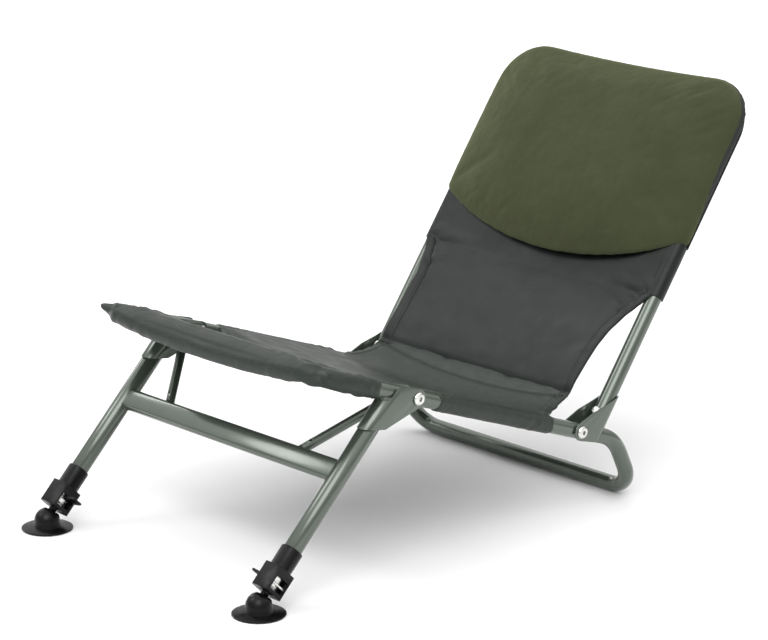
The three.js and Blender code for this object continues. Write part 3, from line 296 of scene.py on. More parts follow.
# Painted shade: the back is the same sling cloth as the seat, given a darker colour to stand for the shade on it
BACK_CLOTH_SHADED = woven("back_nylon_shaded", (0.003, 0.0048, 0.0036), (0.0068, 0.0096, 0.0078), roughness=0.38,
                   turn=-BACK_SLOPE, sheen=0.0, gloss=0.28)
POCKET_CLOTH = woven("pocket_nylon", (0.006, 0.0075, 0.0065), (0.014, 0.016, 0.0145), roughness=0.55,
                     turn=-BACK_SLOPE, sheen=0.0, gloss=0.35)
FLEECE = fleece()


# Objects and meshes
def new_object(name, vertices, faces, mat, sharp=50.0):
    mesh = bpy.data.meshes.new(name)
    mesh.from_pydata([tuple(v) for v in vertices], [], faces)
    work = bmesh.new()
    work.from_mesh(mesh)
    bmesh.ops.recalc_face_normals(work, faces=work.faces)
    work.to_mesh(mesh)
    work.free()
    mesh.shade_smooth()
    mesh.set_sharp_from_angle(angle=math.radians(sharp))
    obj = bpy.data.objects.new(name, mesh)
    bpy.context.collection.objects.link(obj)
    mesh.materials.append(mat)
    return obj


def rings_to_faces(ring_count, size, closed=False):
    faces = []
    for r in range(ring_count if closed else ring_count - 1):
        low, high = r * size, ((r + 1) % ring_count) * size
        faces += [(low + i, low + (i + 1) % size, high + (i + 1) % size, high + i) for i in range(size)]
    return faces


# A route of straights through corners, each rounded by its bend radius, as stations of (place, heading)
def bent_route(corners, radii, steps=14):
    stations = []
    for i, corner in enumerate(corners):
        if i in (0, len(corners) - 1):
            heading = (corners[1] - corner if i == 0 else corner - corners[i - 1]).normalized()
            stations.append((corner.copy(), heading))
            continue
        into = (corner - corners[i - 1]).normalized()
        out = (corners[i + 1] - corner).normalized()
        turn = into.angle(out)
        axis = into.cross(out).normalized()
        radius = radii[i - 1] * MM
        start = corner - into * radius * math.tan(turn / 2)
        centre = start + axis.cross(into) * radius
        for step in range(steps + 1):
            spin = Matrix.Rotation(turn * step / steps, 3, axis)
            stations.append((centre + spin @ (start - centre), spin @ into))
    return stations


def sweep_rings(stations, radius, sides):
    rings = []
    side = stations[0][1].orthogonal().normalized()
    for place, heading in stations:
        side = (side - heading * side.dot(heading)).normalized()
        other = heading.cross(side)
        turns = [2 * math.pi * i / sides for i in range(sides)]
        rings.append([place + (side * math.cos(t) + other * math.sin(t)) * radius * MM for t in turns])
    return rings


def tube(name, stations, radius, wall, body, *nodes, sides=40):
    rings = sweep_rings(stations, radius, sides) + sweep_rings(stations, radius - wall, sides)[::-1]
    faces = rings_to_faces(len(rings), sides, closed=True)
    obj = new_object(name, [v for ring in rings for v in ring], faces, PAINT)
    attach(obj, body)
    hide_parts(*nodes)
    return obj


def rod(name, stations, radius, sides=32):
    rings = sweep_rings(stations, radius, sides)
    faces = rings_to_faces(len(rings), sides)
    last = (len(rings) - 1) * sides
    faces += [tuple(range(sides)), tuple(range(last, last + sides))]
    return new_object(name, [v for ring in rings for v in ring], faces, PAINT)


# The object's mesh with a modifier worked into it
def worked(obj, kind, **values):
    mod = obj.modifiers.new("step", kind)
    for key, value in values.items():
        setattr(mod, key, value)
    graph = bpy.context.evaluated_depsgraph_get()
    mesh = bpy.data.meshes.new_from_object(obj.evaluated_get(graph))
    obj.modifiers.clear()
    obj.data = mesh
    return obj


# A route's stations in a plane's own coordinates
def seen_from(plane, stations):
    inverse = plane.matrix().inverted()
    return [(inverse @ place, inverse.to_3x3() @ heading) for place, heading in stations]


def carved(obj, cutter):
    worked(obj, "BOOLEAN", object=cutter, operation="DIFFERENCE", solver="EXACT")
    bpy.data.objects.remove(cutter)
    return obj


# The cloth solver's pressure, and the frames that it runs for
SWELL_PRESSURE = 4.0
SWELL_FRAMES = 20


# The pad swells under pressure; allowed(point) is how far a point may move, and a point stays at 0
def swollen(obj, allowed):
    mesh = obj.data
    room = [allowed(v.co / MM) * MM for v in mesh.vertices]
    group = obj.vertex_groups.new(name="held")
    group.add([i for i, r in enumerate(room) if r <= 0], 1.0, "REPLACE")
    cloth = obj.modifiers.new("swell", "CLOTH")
    cloth.settings.use_pressure = True
    cloth.settings.uniform_pressure_force = SWELL_PRESSURE
    cloth.settings.effector_weights.gravity = 0
    cloth.settings.vertex_group_mass = "held"
    cloth.settings.quality = 4
    cloth.collision_settings.use_collision = False
    cloth.point_cache.frame_start = 1
    cloth.point_cache.frame_end = SWELL_FRAMES
    for step in range(1, SWELL_FRAMES + 1):
        bpy.context.scene.frame_set(step)
    graph = bpy.context.evaluated_depsgraph_get()
    swelled = obj.evaluated_get(graph).to_mesh()
    places = [v.co.copy() for v in swelled.vertices]
    obj.modifiers.clear()
    obj.vertex_groups.clear()
    bpy.context.scene.frame_set(1)
    for vertex, place, most in zip(mesh.vertices, places, room):
        move = place - vertex.co
        if most > 0 and move.length > 0:
            vertex.co += move.normalized() * most * math.tanh(move.length / most)
    mesh.update()
    return obj


# Every point is pushed along its normal by shift(point, normal), in millimetres
def pressed(obj, shift):
    mesh = obj.data
    normals = [v.normal.copy() for v in mesh.vertices]
    for vertex, normal in zip(mesh.vertices, normals):
        vertex.co += normal * shift(vertex.co / MM, normal) * MM
    mesh.update()
    return obj


# The least thickness of a skin
LEAST = 0.4


# A closed skin over a grid of (x, y) rows: its upper and lower faces are heights over each point
def height_skin(name, grid, top, low, mat):
    vertices = []
    for row in grid:
        highs = [top(x, y) for x, y in row]
        lows = [min(low(x, y), high - LEAST) for (x, y), high in zip(row, highs)]
        vertices += [Vector((x, y, z)) * MM for (x, y), z in zip(row, highs)]
        vertices += [Vector((x, y, z)) * MM for (x, y), z in zip(row[::-1], lows[::-1])]
    size = 2 * len(grid[0])
    faces = rings_to_faces(len(grid), size)
    for start in (0, (len(grid) - 1) * size):
        faces += [(start + i, start + i + 1, start + size - 2 - i, start + size - 1 - i)
                  for i in range(len(grid[0]) - 1)]
    return new_object(name, vertices, faces, mat)


# Columns across a sheet of a half width: close together near its edges
EDGE_INSETS = (0, 0.35, 1.1, 2.2, 3.8, 5.8, 8.2, 11, 13.6, 15.4, 16.4, 17.4, 19.2, 22.5, 27, 33)


def columns_of(half, between=40):
    edge = [half - inset * min(half / 60, 1) for inset in EDGE_INSETS]
    inner = [edge[-1] * (1 - 2 * i / between) for i in range(1, between)]
    right = edge + inner[:between // 2]
    return right + [-x for x in right[-2::-1]]


def steps_between(low, high, size):
    count = max(round((high - low) / size), 1)
    return [mix(low, high, i / count) for i in range(count + 1)]


# A smooth ridge over a place, 1 on it and fading within the width
def ridge(distance, width):
    return math.exp(-(distance / width) ** 2)


# A ridge or furrow along a line between two points of a plane
def crease(x, y, start, end, width, size):
    dx, dy = end[0] - start[0], end[1] - start[1]
    length = math.hypot(dx, dy)
    t = ((x - start[0]) * dx + (y - start[1]) * dy) / length ** 2
    off = ((x - start[0]) * dy - (y - start[1]) * dx) / length
    if not 0 < t < 1 or abs(off) > 3 * width:
        return 0.0
    return size * math.sin(math.pi * t) * ridge(off, width)


def wrinkled(x, y, along, across, seed):
    return noise.noise(Vector((x / across, y / along, seed)))


def finished(obj, plane, mat, slot, *nodes, sharp=50.0, fill=0.3):
    obj.data.transform(plane.matrix())
    obj.data.materials.clear()
    obj.data.materials.append(mat)
    obj.data.shade_smooth()
    obj.data.set_sharp_from_angle(angle=math.radians(sharp))
    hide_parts(*nodes)
    return obj


# A finer copy of a CAD node: its flat faces joined again and its sharp edges rounded
def refined(node, mat, body, slot, bevel, segments, angle):
    source = frame["nodes"][node]
    work = bmesh.new()
    work.from_mesh(source.data)
    bmesh.ops.remove_doubles(work, verts=work.verts, dist=0.01 * MM)
    bmesh.ops.dissolve_limit(work, angle_limit=math.radians(1.0), verts=work.verts, edges=work.edges)
    if bevel:
        least = math.radians(angle)
        edges = [e for e in work.edges if len(e.link_faces) == 2 and e.calc_face_angle(0) > least]
        bmesh.ops.bevel(work, geom=edges, offset=bevel * MM, segments=segments, profile=0.5, affect="EDGES",
                        clamp_overlap=True)
    mesh = bpy.data.meshes.new(f"{node}_fine")
    work.to_mesh(mesh)
    work.free()
    mesh.shade_smooth()
    mesh.set_sharp_from_angle(angle=math.radians(angle + 6))
    obj = bpy.data.objects.new(f"{node}_fine", mesh)
    bpy.context.collection.objects.link(obj)
    mesh.materials.clear()
    mesh.materials.append(mat)
    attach(obj, body)
    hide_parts(node)
    return obj


# Steel frame
def front_route(low):
    corners = [on_rail(HALF_TRACK, low, 0), on_rail(HALF_TRACK, FRONT_REACH, 0)]
    corners += [on_rail(-HALF_TRACK, FRONT_REACH, 0), on_rail(-HALF_TRACK, low, 0)]
    return bent_route(corners, [FRONT_BEND] * 2)


def back_route(low):
    corners = [back.at(HALF_TRACK, low, -BACK_OFFSET), back.at(HALF_TRACK, BACK_REACH, -BACK_OFFSET)]
    corners += [back.at(-HALF_TRACK, BACK_REACH, -BACK_OFFSET), back.at(-HALF_TRACK, low, -BACK_OFFSET)]
    return bent_route(corners, [TOP_BEND] * 2)


# The rear foot: how far behind the back pivot it joins the rail and turns down, and its upright's slope
SPLICE = 18
SPLICE_GAP = 0.3
HEEL = 84
UPRIGHT_SLOPE = 63.6
HEEL_BEND = 60
FLOOR_BEND = 45


def steel_frame():
    tube("seat_loop", front_route(-SPLICE), TUBE, TUBE_WALL, "seat_frame", "seat_frame_tube")
    heel = on_rail(HALF_TRACK, -HEEL, 0)
    floor_y = heel.y + (heel.z - TUBE * MM) / math.tan(math.radians(UPRIGHT_SLOPE))
    start = on_rail(HALF_TRACK, -SPLICE - SPLICE_GAP, 0)
    corners = [start, heel, Vector((HALF_TRACK * MM, floor_y, TUBE * MM))]
    corners += [Vector((-c.x, c.y, c.z)) for c in reversed(corners)]
    foot_route = bent_route(corners, [HEEL_BEND, FLOOR_BEND, FLOOR_BEND, HEEL_BEND])
    tube("floor_bar", foot_route, TUBE, TUBE_WALL, "seat_frame", "rear_foot_tube")
    tube("back_loop", back_route(BACK_TUBE_START), TUBE, TUBE_WALL, "backrest", "back_frame_tube")


# How each kind of rigid node is refined: bevel, its segments, and the least angle of an edge that gets it
FINE = {
    "leg_bracket": (0.5, 2, 30), "back_bracket": (0.5, 2, 30), "leg_clamp": (0.6, 2, 35),
    "release_tab": (0.7, 3, 25), "lock_plate": (0.25, 1, 40), "cross_tube": (0.4, 2, 60),
    "strut": (0.0, 1, 40), "leg_tube": (0.3, 1, 60), "mud_foot": (0.4, 2, 40),
    "foot_stud": (0.3, 1, 40), "foot_ball": (0.0, 1, 30), "leg_pivot_bolt": (0.35, 2, 25),
    "back_pivot_bolt": (0.35, 2, 25), "leg_pivot_nut": (0.3, 2, 25), "back_pivot_nut": (0.3, 2, 25),
    "bracket_screw": (0.25, 2, 25), "inner_leg": (0.3, 1, 40),
}


def rigid_nodes():
    looks = {"frame_paint": PAINT, "zinc": ZINC, "black_plastic": BLACK, "nylon": NYLON}
    slots = {s["node"]: s["material_slot"] for s in frame["record"]["subparts"]}
    bodies = {n: b for b, nodes in frame["record"]["behaviour"]["bodies"].items() for n in nodes}
    for node, obj in frame["nodes"].items():
        slot = slots[node]
        if slot not in looks:
            continue
        kind = next((k for k in FINE if node.startswith(k)), None)
        if kind:
            bevel, segments, angle = FINE[kind]
            refined(node, looks[slot], bodies[node], slot, bevel, segments, angle)
        elif not obj.hide_render:
            obj.data.materials.clear()
            obj.data.materials.append(looks[slot])


# Seat: a padded sheet between the rails, its sleeves, the roll over the front bar, and the free web
# that rises behind to its seam with the back. Rows of the web are (forward, above, half width)
WEB = ((-10, 51, 189.5), SEAM, (6.2, 32.6, 191.2), (20.7, 20.9, 195.6), (37.2, 12.6, 202.2),
       (51.7, 9.3, 207.7))
SEAT_PAD = 7
SEAT_SAG = 17

# The sheet between the sleeves: its edge's height, the run over which it is cut in, and its hem's width
CUT_TOP = 0.5
CUT_RUN = 12
HEM = 16.5


def cut_in(forward):
    low, high = REAR_SLEEVE[1], FRONT_SLEEVE_LOW
    return smooth((forward - low) / CUT_RUN) * smooth((high - forward) / CUT_RUN)


def bent_half(past, radius, grow=0.0):
    return HALF_TRACK - radius + math.sqrt(max((radius + grow) ** 2 - max(past, 0) ** 2, 0))


def sheet_half(forward):
    if forward < REAR_SLEEVE[0]:
        return along_table(WEB, forward, 2)
    held = bent_half(forward - FRONT_REACH + FRONT_BEND, FRONT_BEND) - 0.3
    return mix(held, HALF_TRACK - CUT_IN, cut_in(forward))


def sheet_top(x, forward):
    full = SLEEVE - 0.3
    edge = along_table(WEB, forward, 1) + SEAT_PAD / 2
    edge = mix(min(edge, 60) if forward < REAR_SLEEVE[0] else full, CUT_TOP, cut_in(forward))
    base = edge if forward < REAR_SLEEVE[0] else full
    middle = base - SEAT_SAG * smooth((FRONT_REACH - forward) / 120)
    return mix(edge, middle, dish(x / sheet_half(forward)))


def rail_distance(x, forward):
    past = forward - FRONT_REACH + FRONT_BEND
    if past <= 0:
        return abs(abs(x) - HALF_TRACK)
    side = abs(x) - HALF_TRACK + FRONT_BEND
    return abs(math.hypot(side, past) - FRONT_BEND) if side > 0 else abs(forward - FRONT_REACH)


def sleeve_height(x, forward):
    if not (REAR_SLEEVE[0] <= forward <= REAR_SLEEVE[1] or forward >= FRONT_SLEEVE_LOW):
        return None
    off = rail_distance(x, forward)
    return math.sqrt(SLEEVE ** 2 - off ** 2) if off < SLEEVE else None


# Roll over the front bar: half its length, its reach, height and sag in the middle, how much less of
# the first two it has at its ends, and the slope from its front crease up to its top
ROLL_HALF = 186
ROLL_REACH = 15.5
ROLL_HIGH = 17.5
ROLL_SAG = 5.4
ROLL_LESS_REACH = 2.6
ROLL_LESS_HIGH = 4.8
ROLL_CREASE = (15, 4.5)
ROLL_SLOPE = 0.56


# The roll's middle, and its upper and lower half heights, or nothing past it
def roll_height(x, forward):
    u = min(abs(x) / ROLL_HALF, 1)
    share = abs(forward - FRONT_REACH) / (ROLL_REACH - ROLL_LESS_REACH * u ** 3)
    if share >= 1 or abs(x) > ROLL_HALF:
        return None
    full = (ROLL_HIGH - ROLL_LESS_HIGH * u ** 3) * (1 - share ** 3) ** (1 / 2.6)
    slope = ROLL_CREASE[1] + ROLL_SLOPE * max(FRONT_REACH + ROLL_CREASE[0] - forward, 0)
    return -ROLL_SAG * dish(u), min(full, slope), full


def seat_top(x, y):
    forward = -y
    heights = [sleeve_height(x, forward)]
    if abs(x) <= sheet_half(forward) and forward <= FRONT_REACH:
        heights.append(sheet_top(x, forward))
    roll = roll_height(x, forward)
    if roll:
        heights.append(roll[0] + roll[1])
    heights = [h for h in heights if h is not None]
    return max(heights) if heights else 0.2


def seat_low(x, y):
    forward = -y
    sleeve = sleeve_height(x, forward)
    heights = [None if sleeve is None else -sleeve]
    if abs(x) <= sheet_half(forward) and forward <= FRONT_REACH:
        heights.append(sheet_top(x, forward) - SEAT_PAD)
    roll = roll_height(x, forward)
    if roll:
        heights.append(roll[0] - roll[2])
    heights = [h for h in heights if h is not None]
    return min(heights) if heights else -0.2


# A point of the skin kept outside the rail's room, with the cloth's thickness to spare
def cleared(p):
    forward, least = -p.y, SLEEVE - 0.5
    spare = 4
    if not (REAR_SLEEVE[0] + spare < forward < REAR_SLEEVE[1] - spare or forward > FRONT_SLEEVE_LOW + spare):
        return p
    past = forward - FRONT_REACH + FRONT_BEND
    side = abs(p.x) - HALF_TRACK + FRONT_BEND
    hand = math.copysign(1, p.x)
    if past <= 0:
        axis = Vector((hand * HALF_TRACK, p.y, 0))
    elif side > 0:
        reach = math.hypot(side, past)
        axis = Vector((hand * (HALF_TRACK - FRONT_BEND + side / reach * FRONT_BEND),
                       -(FRONT_REACH - FRONT_BEND + past / reach * FRONT_BEND), 0))
    else:
        axis = Vector((p.x, -FRONT_REACH, 0))
    off = p - axis
    return p if off.length >= least else axis + off.normalized() * least


def seat_half(forward):
    if forward < REAR_SLEEVE[0] or REAR_SLEEVE[1] < forward < FRONT_SLEEVE_LOW:
        return sheet_half(forward)
    past = forward - FRONT_REACH + FRONT_BEND
    if forward < FRONT_REACH + SLEEVE - 0.5:
        return bent_half(past, FRONT_BEND, SLEEVE)
    return ROLL_HALF * min((FRONT_REACH + ROLL_REACH - forward) / ROLL_LESS_REACH, 0.9)


# Folds near the front corners as (start, end, width, height), mirrored across the seat
FRONT_CREASES = (
    ((150, 470), (228, 440), 4, 2.2),
    ((165, 488), (232, 466), 3.4, -2.4),
    ((178, 505), (222, 470), 3.6, 2.0),
    ((120, 478), (196, 494), 4, 1.8),
    ((196, 452), (232, 430), 3.5, -2.0),
    ((205, 432), (234, 408), 4, 1.8),
)


# The pinched ear of spare cloth at a front corner, as rings of (x, forward, above, half width, half height)
EAR = ((196, 470, 0, 13, 11), (208, 479, 1, 13, 10), (216, 484, 2, 11.5, 8), (223, 488, 3, 8.5, 5.2),
       (229, 490.5, 4, 5, 3.2))
EAR_SIDES = 16


def add_ears(obj):
    work = bmesh.new()
    work.from_mesh(obj.data)
    heading = Vector((EAR[-1][0] - EAR[0][0], EAR[0][1] - EAR[-1][1], 0)).normalized()
    side = Vector((-heading.y, heading.x, 0))
    turns = [2 * math.pi * i / EAR_SIDES for i in range(EAR_SIDES)]
    for hand in (1, -1):
        vertices = []
        for x, forward, above, wide, high in EAR:
            for t in turns:
                place = Vector((x, -forward, above + high * math.sin(t))) + side * wide * math.cos(t)
                vertices.append(work.verts.new(Vector((hand * place.x, place.y, place.z)) * MM))
        for face in rings_to_faces(len(EAR), EAR_SIDES):
            work.faces.new([vertices[i] for i in face])
        work.faces.new(vertices[:EAR_SIDES])
        work.faces.new(vertices[-EAR_SIDES:])
    bmesh.ops.recalc_face_normals(work, faces=work.faces)
    work.to_mesh(obj.data)
    work.free()


# The web's middle leans back with the back's sag, so that the two sheets meet at the seam
LEAN = Vector((0, 14.4, 13.5))


def leaned(p):
    t = smooth((REAR_SLEEVE[0] + p.y) / (REAR_SLEEVE[0] - SEAM[0]))
    return p + LEAN * t * dish(min(abs(p.x) / along_table(WEB, -p.y, 2), 1))


# How far the solver may move a point of the seat's skin
def seat_room(p):
    forward = -p.y
    on_straight = forward < FRONT_REACH - FRONT_BEND
    sleeve = sleeve_height(HALF_TRACK if on_straight else p.x, forward)
    if rail_distance(p.x, forward) < SLEEVE + 4 and sleeve is not None:
        return 0.0 if abs(p.x) > HALF_TRACK - 40 else 4.0
    if forward > FRONT_REACH - 24:
        return 4.5
    return 2.2 if forward > 60 else 1.2


# Hems, folds and furrows of the seat, along its skin's normal
def seat_detail(p, normal):
    x, forward = abs(p.x), -p.y
    inset = sheet_half(forward) - x
    move = 0.5 * noise.noise(p / 24) + 0.25 * noise.noise(p / 9)
    free = 1 - smooth((forward - REAR_SLEEVE[0] + 6) / 6) + cut_in(forward)
    if 0 < inset < 40:
        move += free * 0.6 * smooth((HEM - inset) / 3)
        move -= free * 1.2 * ridge(inset - HEM, 1.6)
    if inset > 4:
        move -= 3.0 * ridge(forward - SEAM[0] - 3, 5)
    near = min(abs(forward - end) for end in (*REAR_SLEEVE, FRONT_SLEEVE_LOW))
    on_sleeve = smooth((x - HALF_TRACK + 34) / 20) * smooth(1.3 - near / 60)
    move += 2.0 * on_sleeve * wrinkled(p.x, forward + 0.5 * p.z, 10, 45, 2.0)
    move += 0.8 * on_sleeve * wrinkled(p.x + p.z, forward - 0.8 * p.z, 7, 16, 5.0)
    for start, end, width, size in FRONT_CREASES:
        move += crease(x, forward, start, end, width, size)
    gather = smooth((forward - 420) / 40) * smooth((x - 60) / 120)
    move += 1.3 * gather * wrinkled(p.x, forward, 60, 13, 6.0)
    if normal.z > 0.3:
        move -= 1.6 * ridge(forward - FRONT_REACH + 19 + 0.5 * noise.noise(p / 40), 3)
    if forward > FRONT_REACH + 4 and x < ROLL_HALF:
        move -= 1.5 * ridge(p.z - 7.5 + ROLL_SAG * dish(x / ROLL_HALF), 1.8)
    return move


def seat_cloth():
    low, high = REAR_SLEEVE
    front = FRONT_SLEEVE_LOW
    places = steps_between(WEB[0][0], low - 0.4, 4) + steps_between(low, high, 5)
    places += steps_between(high + 0.4, front - 0.4, 5) + steps_between(front, FRONT_REACH - 20, 4)
    places += steps_between(FRONT_REACH - 17, FRONT_REACH + 12, 2)
    places += [FRONT_REACH + r for r in (13.2, 14.2, 14.8, 15.2)]
    grid = [[(x, -f) for x in columns_of(seat_half(f))] for f in places]
    obj = height_skin("seat_cloth", grid, seat_top, seat_low, SEAT_CLOTH)
    for vertex in obj.data.vertices:
        vertex.co = leaned(vertex.co / MM) * MM
    add_ears(obj)
    worked(obj, "REMESH", mode="VOXEL", voxel_size=4.6 * MM)
    swollen(obj, seat_room)
    worked(obj, "SUBSURF", levels=1, render_levels=1)
    pressed(obj, seat_detail)
    for vertex in obj.data.vertices:
        vertex.co = cleared(vertex.co / MM) * MM
    carved(obj, rod("rail_room", seen_from(rail, front_route(10)), SLEEVE_ROOM))
    finished(obj, rail, SEAT_CLOTH, "sling_cloth", "seat_sling")
    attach(obj, "seat_frame")


# Back: one sheet from the seam with the seat to the sleeve over the back tube
# Rows of its free part are (reach, across, half width, sag)
BACK_ROWS = (
    (40, 7.6, 190.5, 15.2), (44, 7, 190.5, 15), (66, 5.95, 190.5, 14.5), (85, 4.3, 190.8, 14.3),
    (101, 2.45, 191.2, 14), (120, -0.2, 192.2, 13.6), (141, -3.5, 194.5, 13), (158, -7.6, 198, 12.6),
    (171, -10.6, 202, 12.3), (185, -14, 207.5, 12), (197, -17.3, 213, 12), (208, -20, 219, 12),
    (218.5, -22.8, 226, 12),
)
BACK_PAD = 4.5
BACK_EDGE = 3.4

# The seam's reach on the back, and a reach higher up on it; the back's cloth does not move with the back
BACK_SEAM = 44
BLEND_END = 170


def back_half(reach):
    if reach < BACK_SLEEVE_LOW:
        return along_table(BACK_ROWS, reach, 2)
    return bent_half(reach - BACK_REACH + TOP_BEND, TOP_BEND, SLEEVE)


def back_middle(x, reach):
    half = mix(min(back_half(reach), HALF_TRACK), HALF_TRACK, smooth((reach - 120) / 90))
    sag = along_table(BACK_ROWS, reach, 3) * smooth((BACK_REACH - reach) / 130)
    level = along_table(BACK_ROWS, reach, 1)
    return level - sag * dish(min(abs(x) / half, 1))


def back_thickness(x, reach):
    if reach >= BACK_SLEEVE_LOW:
        return BACK_PAD / 2
    inset = back_half(reach) - abs(x)
    full = BACK_PAD / 2 + 0.9 * smooth((HEM - inset) / 2) - 1.0 * ridge(inset - HEM, 1.3)
    full *= 1 - 0.85 * ridge(reach - BACK_SEAM, 5)
    return full * math.sqrt(dish(1 - min(inset / BACK_EDGE, 1)))


def back_tube_height(x, reach):
    if reach < BACK_SLEEVE_LOW:
        return None
    past = reach - BACK_REACH + TOP_BEND
    side = abs(x) - HALF_TRACK + TOP_BEND
    off = abs(abs(x) - HALF_TRACK)
    if past > 0:
        off = abs(math.hypot(side, past) - TOP_BEND) if side > 0 else abs(reach - BACK_REACH)
    return math.sqrt(SLEEVE ** 2 - off ** 2) if off < SLEEVE else None


# Folds by the back's free edges as (start, end, width, height), mirrored across it
BACK_CREASES = (
    ((150, 205), (208, 178), 5, 2.2),
    ((168, 226), (224, 200), 4.5, -2.2),
    ((176, 168), (203, 190), 4, -1.8),
    ((140, 232), (212, 222), 5, 1.8),
    ((196, 240), (224, 226), 4, 2.0),
)


def back_waves(x, reach):
    free = smooth((BACK_SLEEVE_LOW + 40 - reach) / 60)
    side = smooth((abs(x) - 120) / 80)
    move = 1.1 * wrinkled(x, reach, 45, 70, 1.5) + 0.5 * wrinkled(x, reach, 20, 25, 4.0)
    move += 1.0 * side * free * wrinkled(x, reach - 0.5 * abs(x), 18, 60, 8.0)
    for start, end, width, size in BACK_CREASES:
        move += crease(abs(x), reach, start, end, width, size)
    return move


def back_cloth():
    def top(x, y):
        sleeve = back_tube_height(x, y)
        sheet = back_middle(x, y) + back_thickness(x, y) + back_waves(x, y)
        if sleeve is None:
            return sheet
        if abs(x) > HALF_TRACK or y > BACK_REACH:
            return -BACK_OFFSET + sleeve
        return max(sheet, -BACK_OFFSET + sleeve)

    def low(x, y):
        sleeve = back_tube_height(x, y)
        sheet = back_middle(x, y) - back_thickness(x, y) + back_waves(x, y)
        return sheet if sleeve is None else min(sheet, -BACK_OFFSET - sleeve)

    start = BACK_SLEEVE_LOW
    places = steps_between(BACK_ROWS[0][0], start - 0.5, 4) + steps_between(start, BACK_REACH - TOP_BEND, 6)
    places += steps_between(BACK_REACH - TOP_BEND + 4, BACK_REACH + 6, 4)
    places += [BACK_REACH + r for r in (9, 11, 12.4, 12.9)]
    grid = [[(x, reach) for x in columns_of(back_half(reach), 44)] for reach in places]
    obj = height_skin("back_cloth", grid, top, low, BACK_CLOTH_SHADED)
    carved(obj, rod("back_room", seen_from(back, back_route(150)), SLEEVE_ROOM))
    finished(obj, back, BACK_CLOTH_SHADED, "sling_cloth", "back_sling", "lower_back_sling")
    tuple(back.at(0, BACK_SEAM, 0))
    tuple(back.at(0, BLEND_END, 0))
    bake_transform(obj)


# Head cushion: a puffed pad whose sides wrap round the back's sleeve, and the pocket behind it. Its
# sides' radius, how far its top rises over them, its lower corners' reach and the drop between them, its
# puff, the sag of its top edge, its side's height over the sleeve, and the level of its seam behind
CUSHION_RADIUS = 15.8
CUSHION_RISE = 7
CUSHION_LOW = 304
CUSHION_DROP = 60
CUSHION_PUFF = 22
CUSHION_TOP_SAG = 8
CUSHION_RIM = 4.3
SEAM_ACROSS = -38

# The gap between the back's sleeve and what is drawn over it
SLEEVE_GAP = 0.3

# The dark binding behind the cushion's edge: where it ends across the back, low down and high up, and
# the reach where it starts to widen and the run over which it does
BINDING_ACROSS = (-37.5, -25.5)
BINDING_RISE = (285, 150)


# An outline on the back's plane that runs round the back tube at a radius, with a drooping lower edge
class Rounded:
    def __init__(self, radius, rise, low, drop, top_sag):
        self.radius = radius
        self.half = HALF_TRACK + radius
        self.corner = TOP_BEND + radius
        self.level = self.half - self.corner
        self.top = BACK_REACH + radius + rise
        self.low, self.drop, self.top_sag = low, drop, top_sag

    def low_at(self, x):
        return self.low - self.drop * dish(x / self.half) ** 0.85

    def corner_at(self, x):
        return self.top - self.corner - self.top_sag * dish(x / self.half)

    def top_at(self, x):
        past = max(abs(x) - self.level, 0)
        return self.corner_at(x) + math.sqrt(max(self.corner ** 2 - past ** 2, 0))

    def inside(self, x, y):
        return self.corner - math.hypot(max(abs(x) - self.level, 0), max(y - self.corner_at(x), 0))

    def grid(self, columns, rows, margin):
        across = [math.sin(math.pi / 2 * (2 * i / columns - 1)) for i in range(columns + 1)]
        xs = [(self.half - margin) * share for share in across]
        shares = [(1 - math.cos(math.pi * j / rows)) / 2 for j in range(rows + 1)]
        return [[(x, mix(self.low_at(x), self.top_at(x) - margin, v)) for x in xs] for v in shares]


def head_cushion():
    form = Rounded(CUSHION_RADIUS, CUSHION_RISE, CUSHION_LOW, CUSHION_DROP, CUSHION_TOP_SAG)
    rim = -BACK_OFFSET + SLEEVE + CUSHION_RIM

    def top(x, y):
        turn = 1 - min(max(form.inside(x, y), 0) / form.radius, 1)
        v = 2 * (y - form.low_at(x)) / (form.top_at(x) - form.low_at(x)) - 1
        swell = max((1 - abs(x / form.half) ** 4) * (1 - abs(v) ** 4), 0)
        full = form.radius * math.sqrt(1 - turn * turn) + CUSHION_PUFF * swell ** 0.9 - BACK_OFFSET
        low = math.sqrt(dish(1 - min((y - form.low_at(x)) / 22, 1)))
        return full if full < rim else rim + (full - rim) * low

    obj = height_skin("head_pad", form.grid(64, 48, 0.3), top, lambda x, y: SEAM_ACROSS, FLEECE)
    worked(obj, "REMESH", mode="VOXEL", voxel_size=5 * MM)

    def allowed(p):
        if p.z < rim - 3:
            return 0.0
        return 5.0 * smooth((p.z - rim + 3) / 14)

    swollen(obj, allowed)
    worked(obj, "SUBSURF", levels=1, render_levels=1)

    def shift(p, normal):
        soft = smooth((p.z - rim) / 10)
        return soft * (0.9 * noise.noise(p / 45) + 0.5 * noise.noise(p / 16)) + 0.3 * noise.noise(p / 7)

    pressed(obj, shift)
    carved(obj, rod("cushion_room", seen_from(back, back_route(200)), SLEEVE + SLEEVE_GAP))
    inner = Rounded(0.01, 0, 200, 0, 0).grid(24, 24, 0.2)
    level = -BACK_OFFSET + SLEEVE + SLEEVE_GAP
    carved(obj, height_skin("cushion_plate", inner, lambda x, y: level, lambda x, y: -80, FLEECE))

    def on_binding(place):
        share = smooth((place.y - BINDING_RISE[0]) / BINDING_RISE[1])
        return place.z < mix(*BINDING_ACROSS, share)

    bound = [p.index for p in obj.data.polygons if on_binding(p.center / MM)]
    finished(obj, back, FLEECE, "olive_fleece", "head_cushion", sharp=60, fill=0.7)
    obj.data.materials.append(POCKET_CLOTH)
    for index in bound:
        obj.data.polygons[index].material_index = 1
    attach(obj, "backrest")


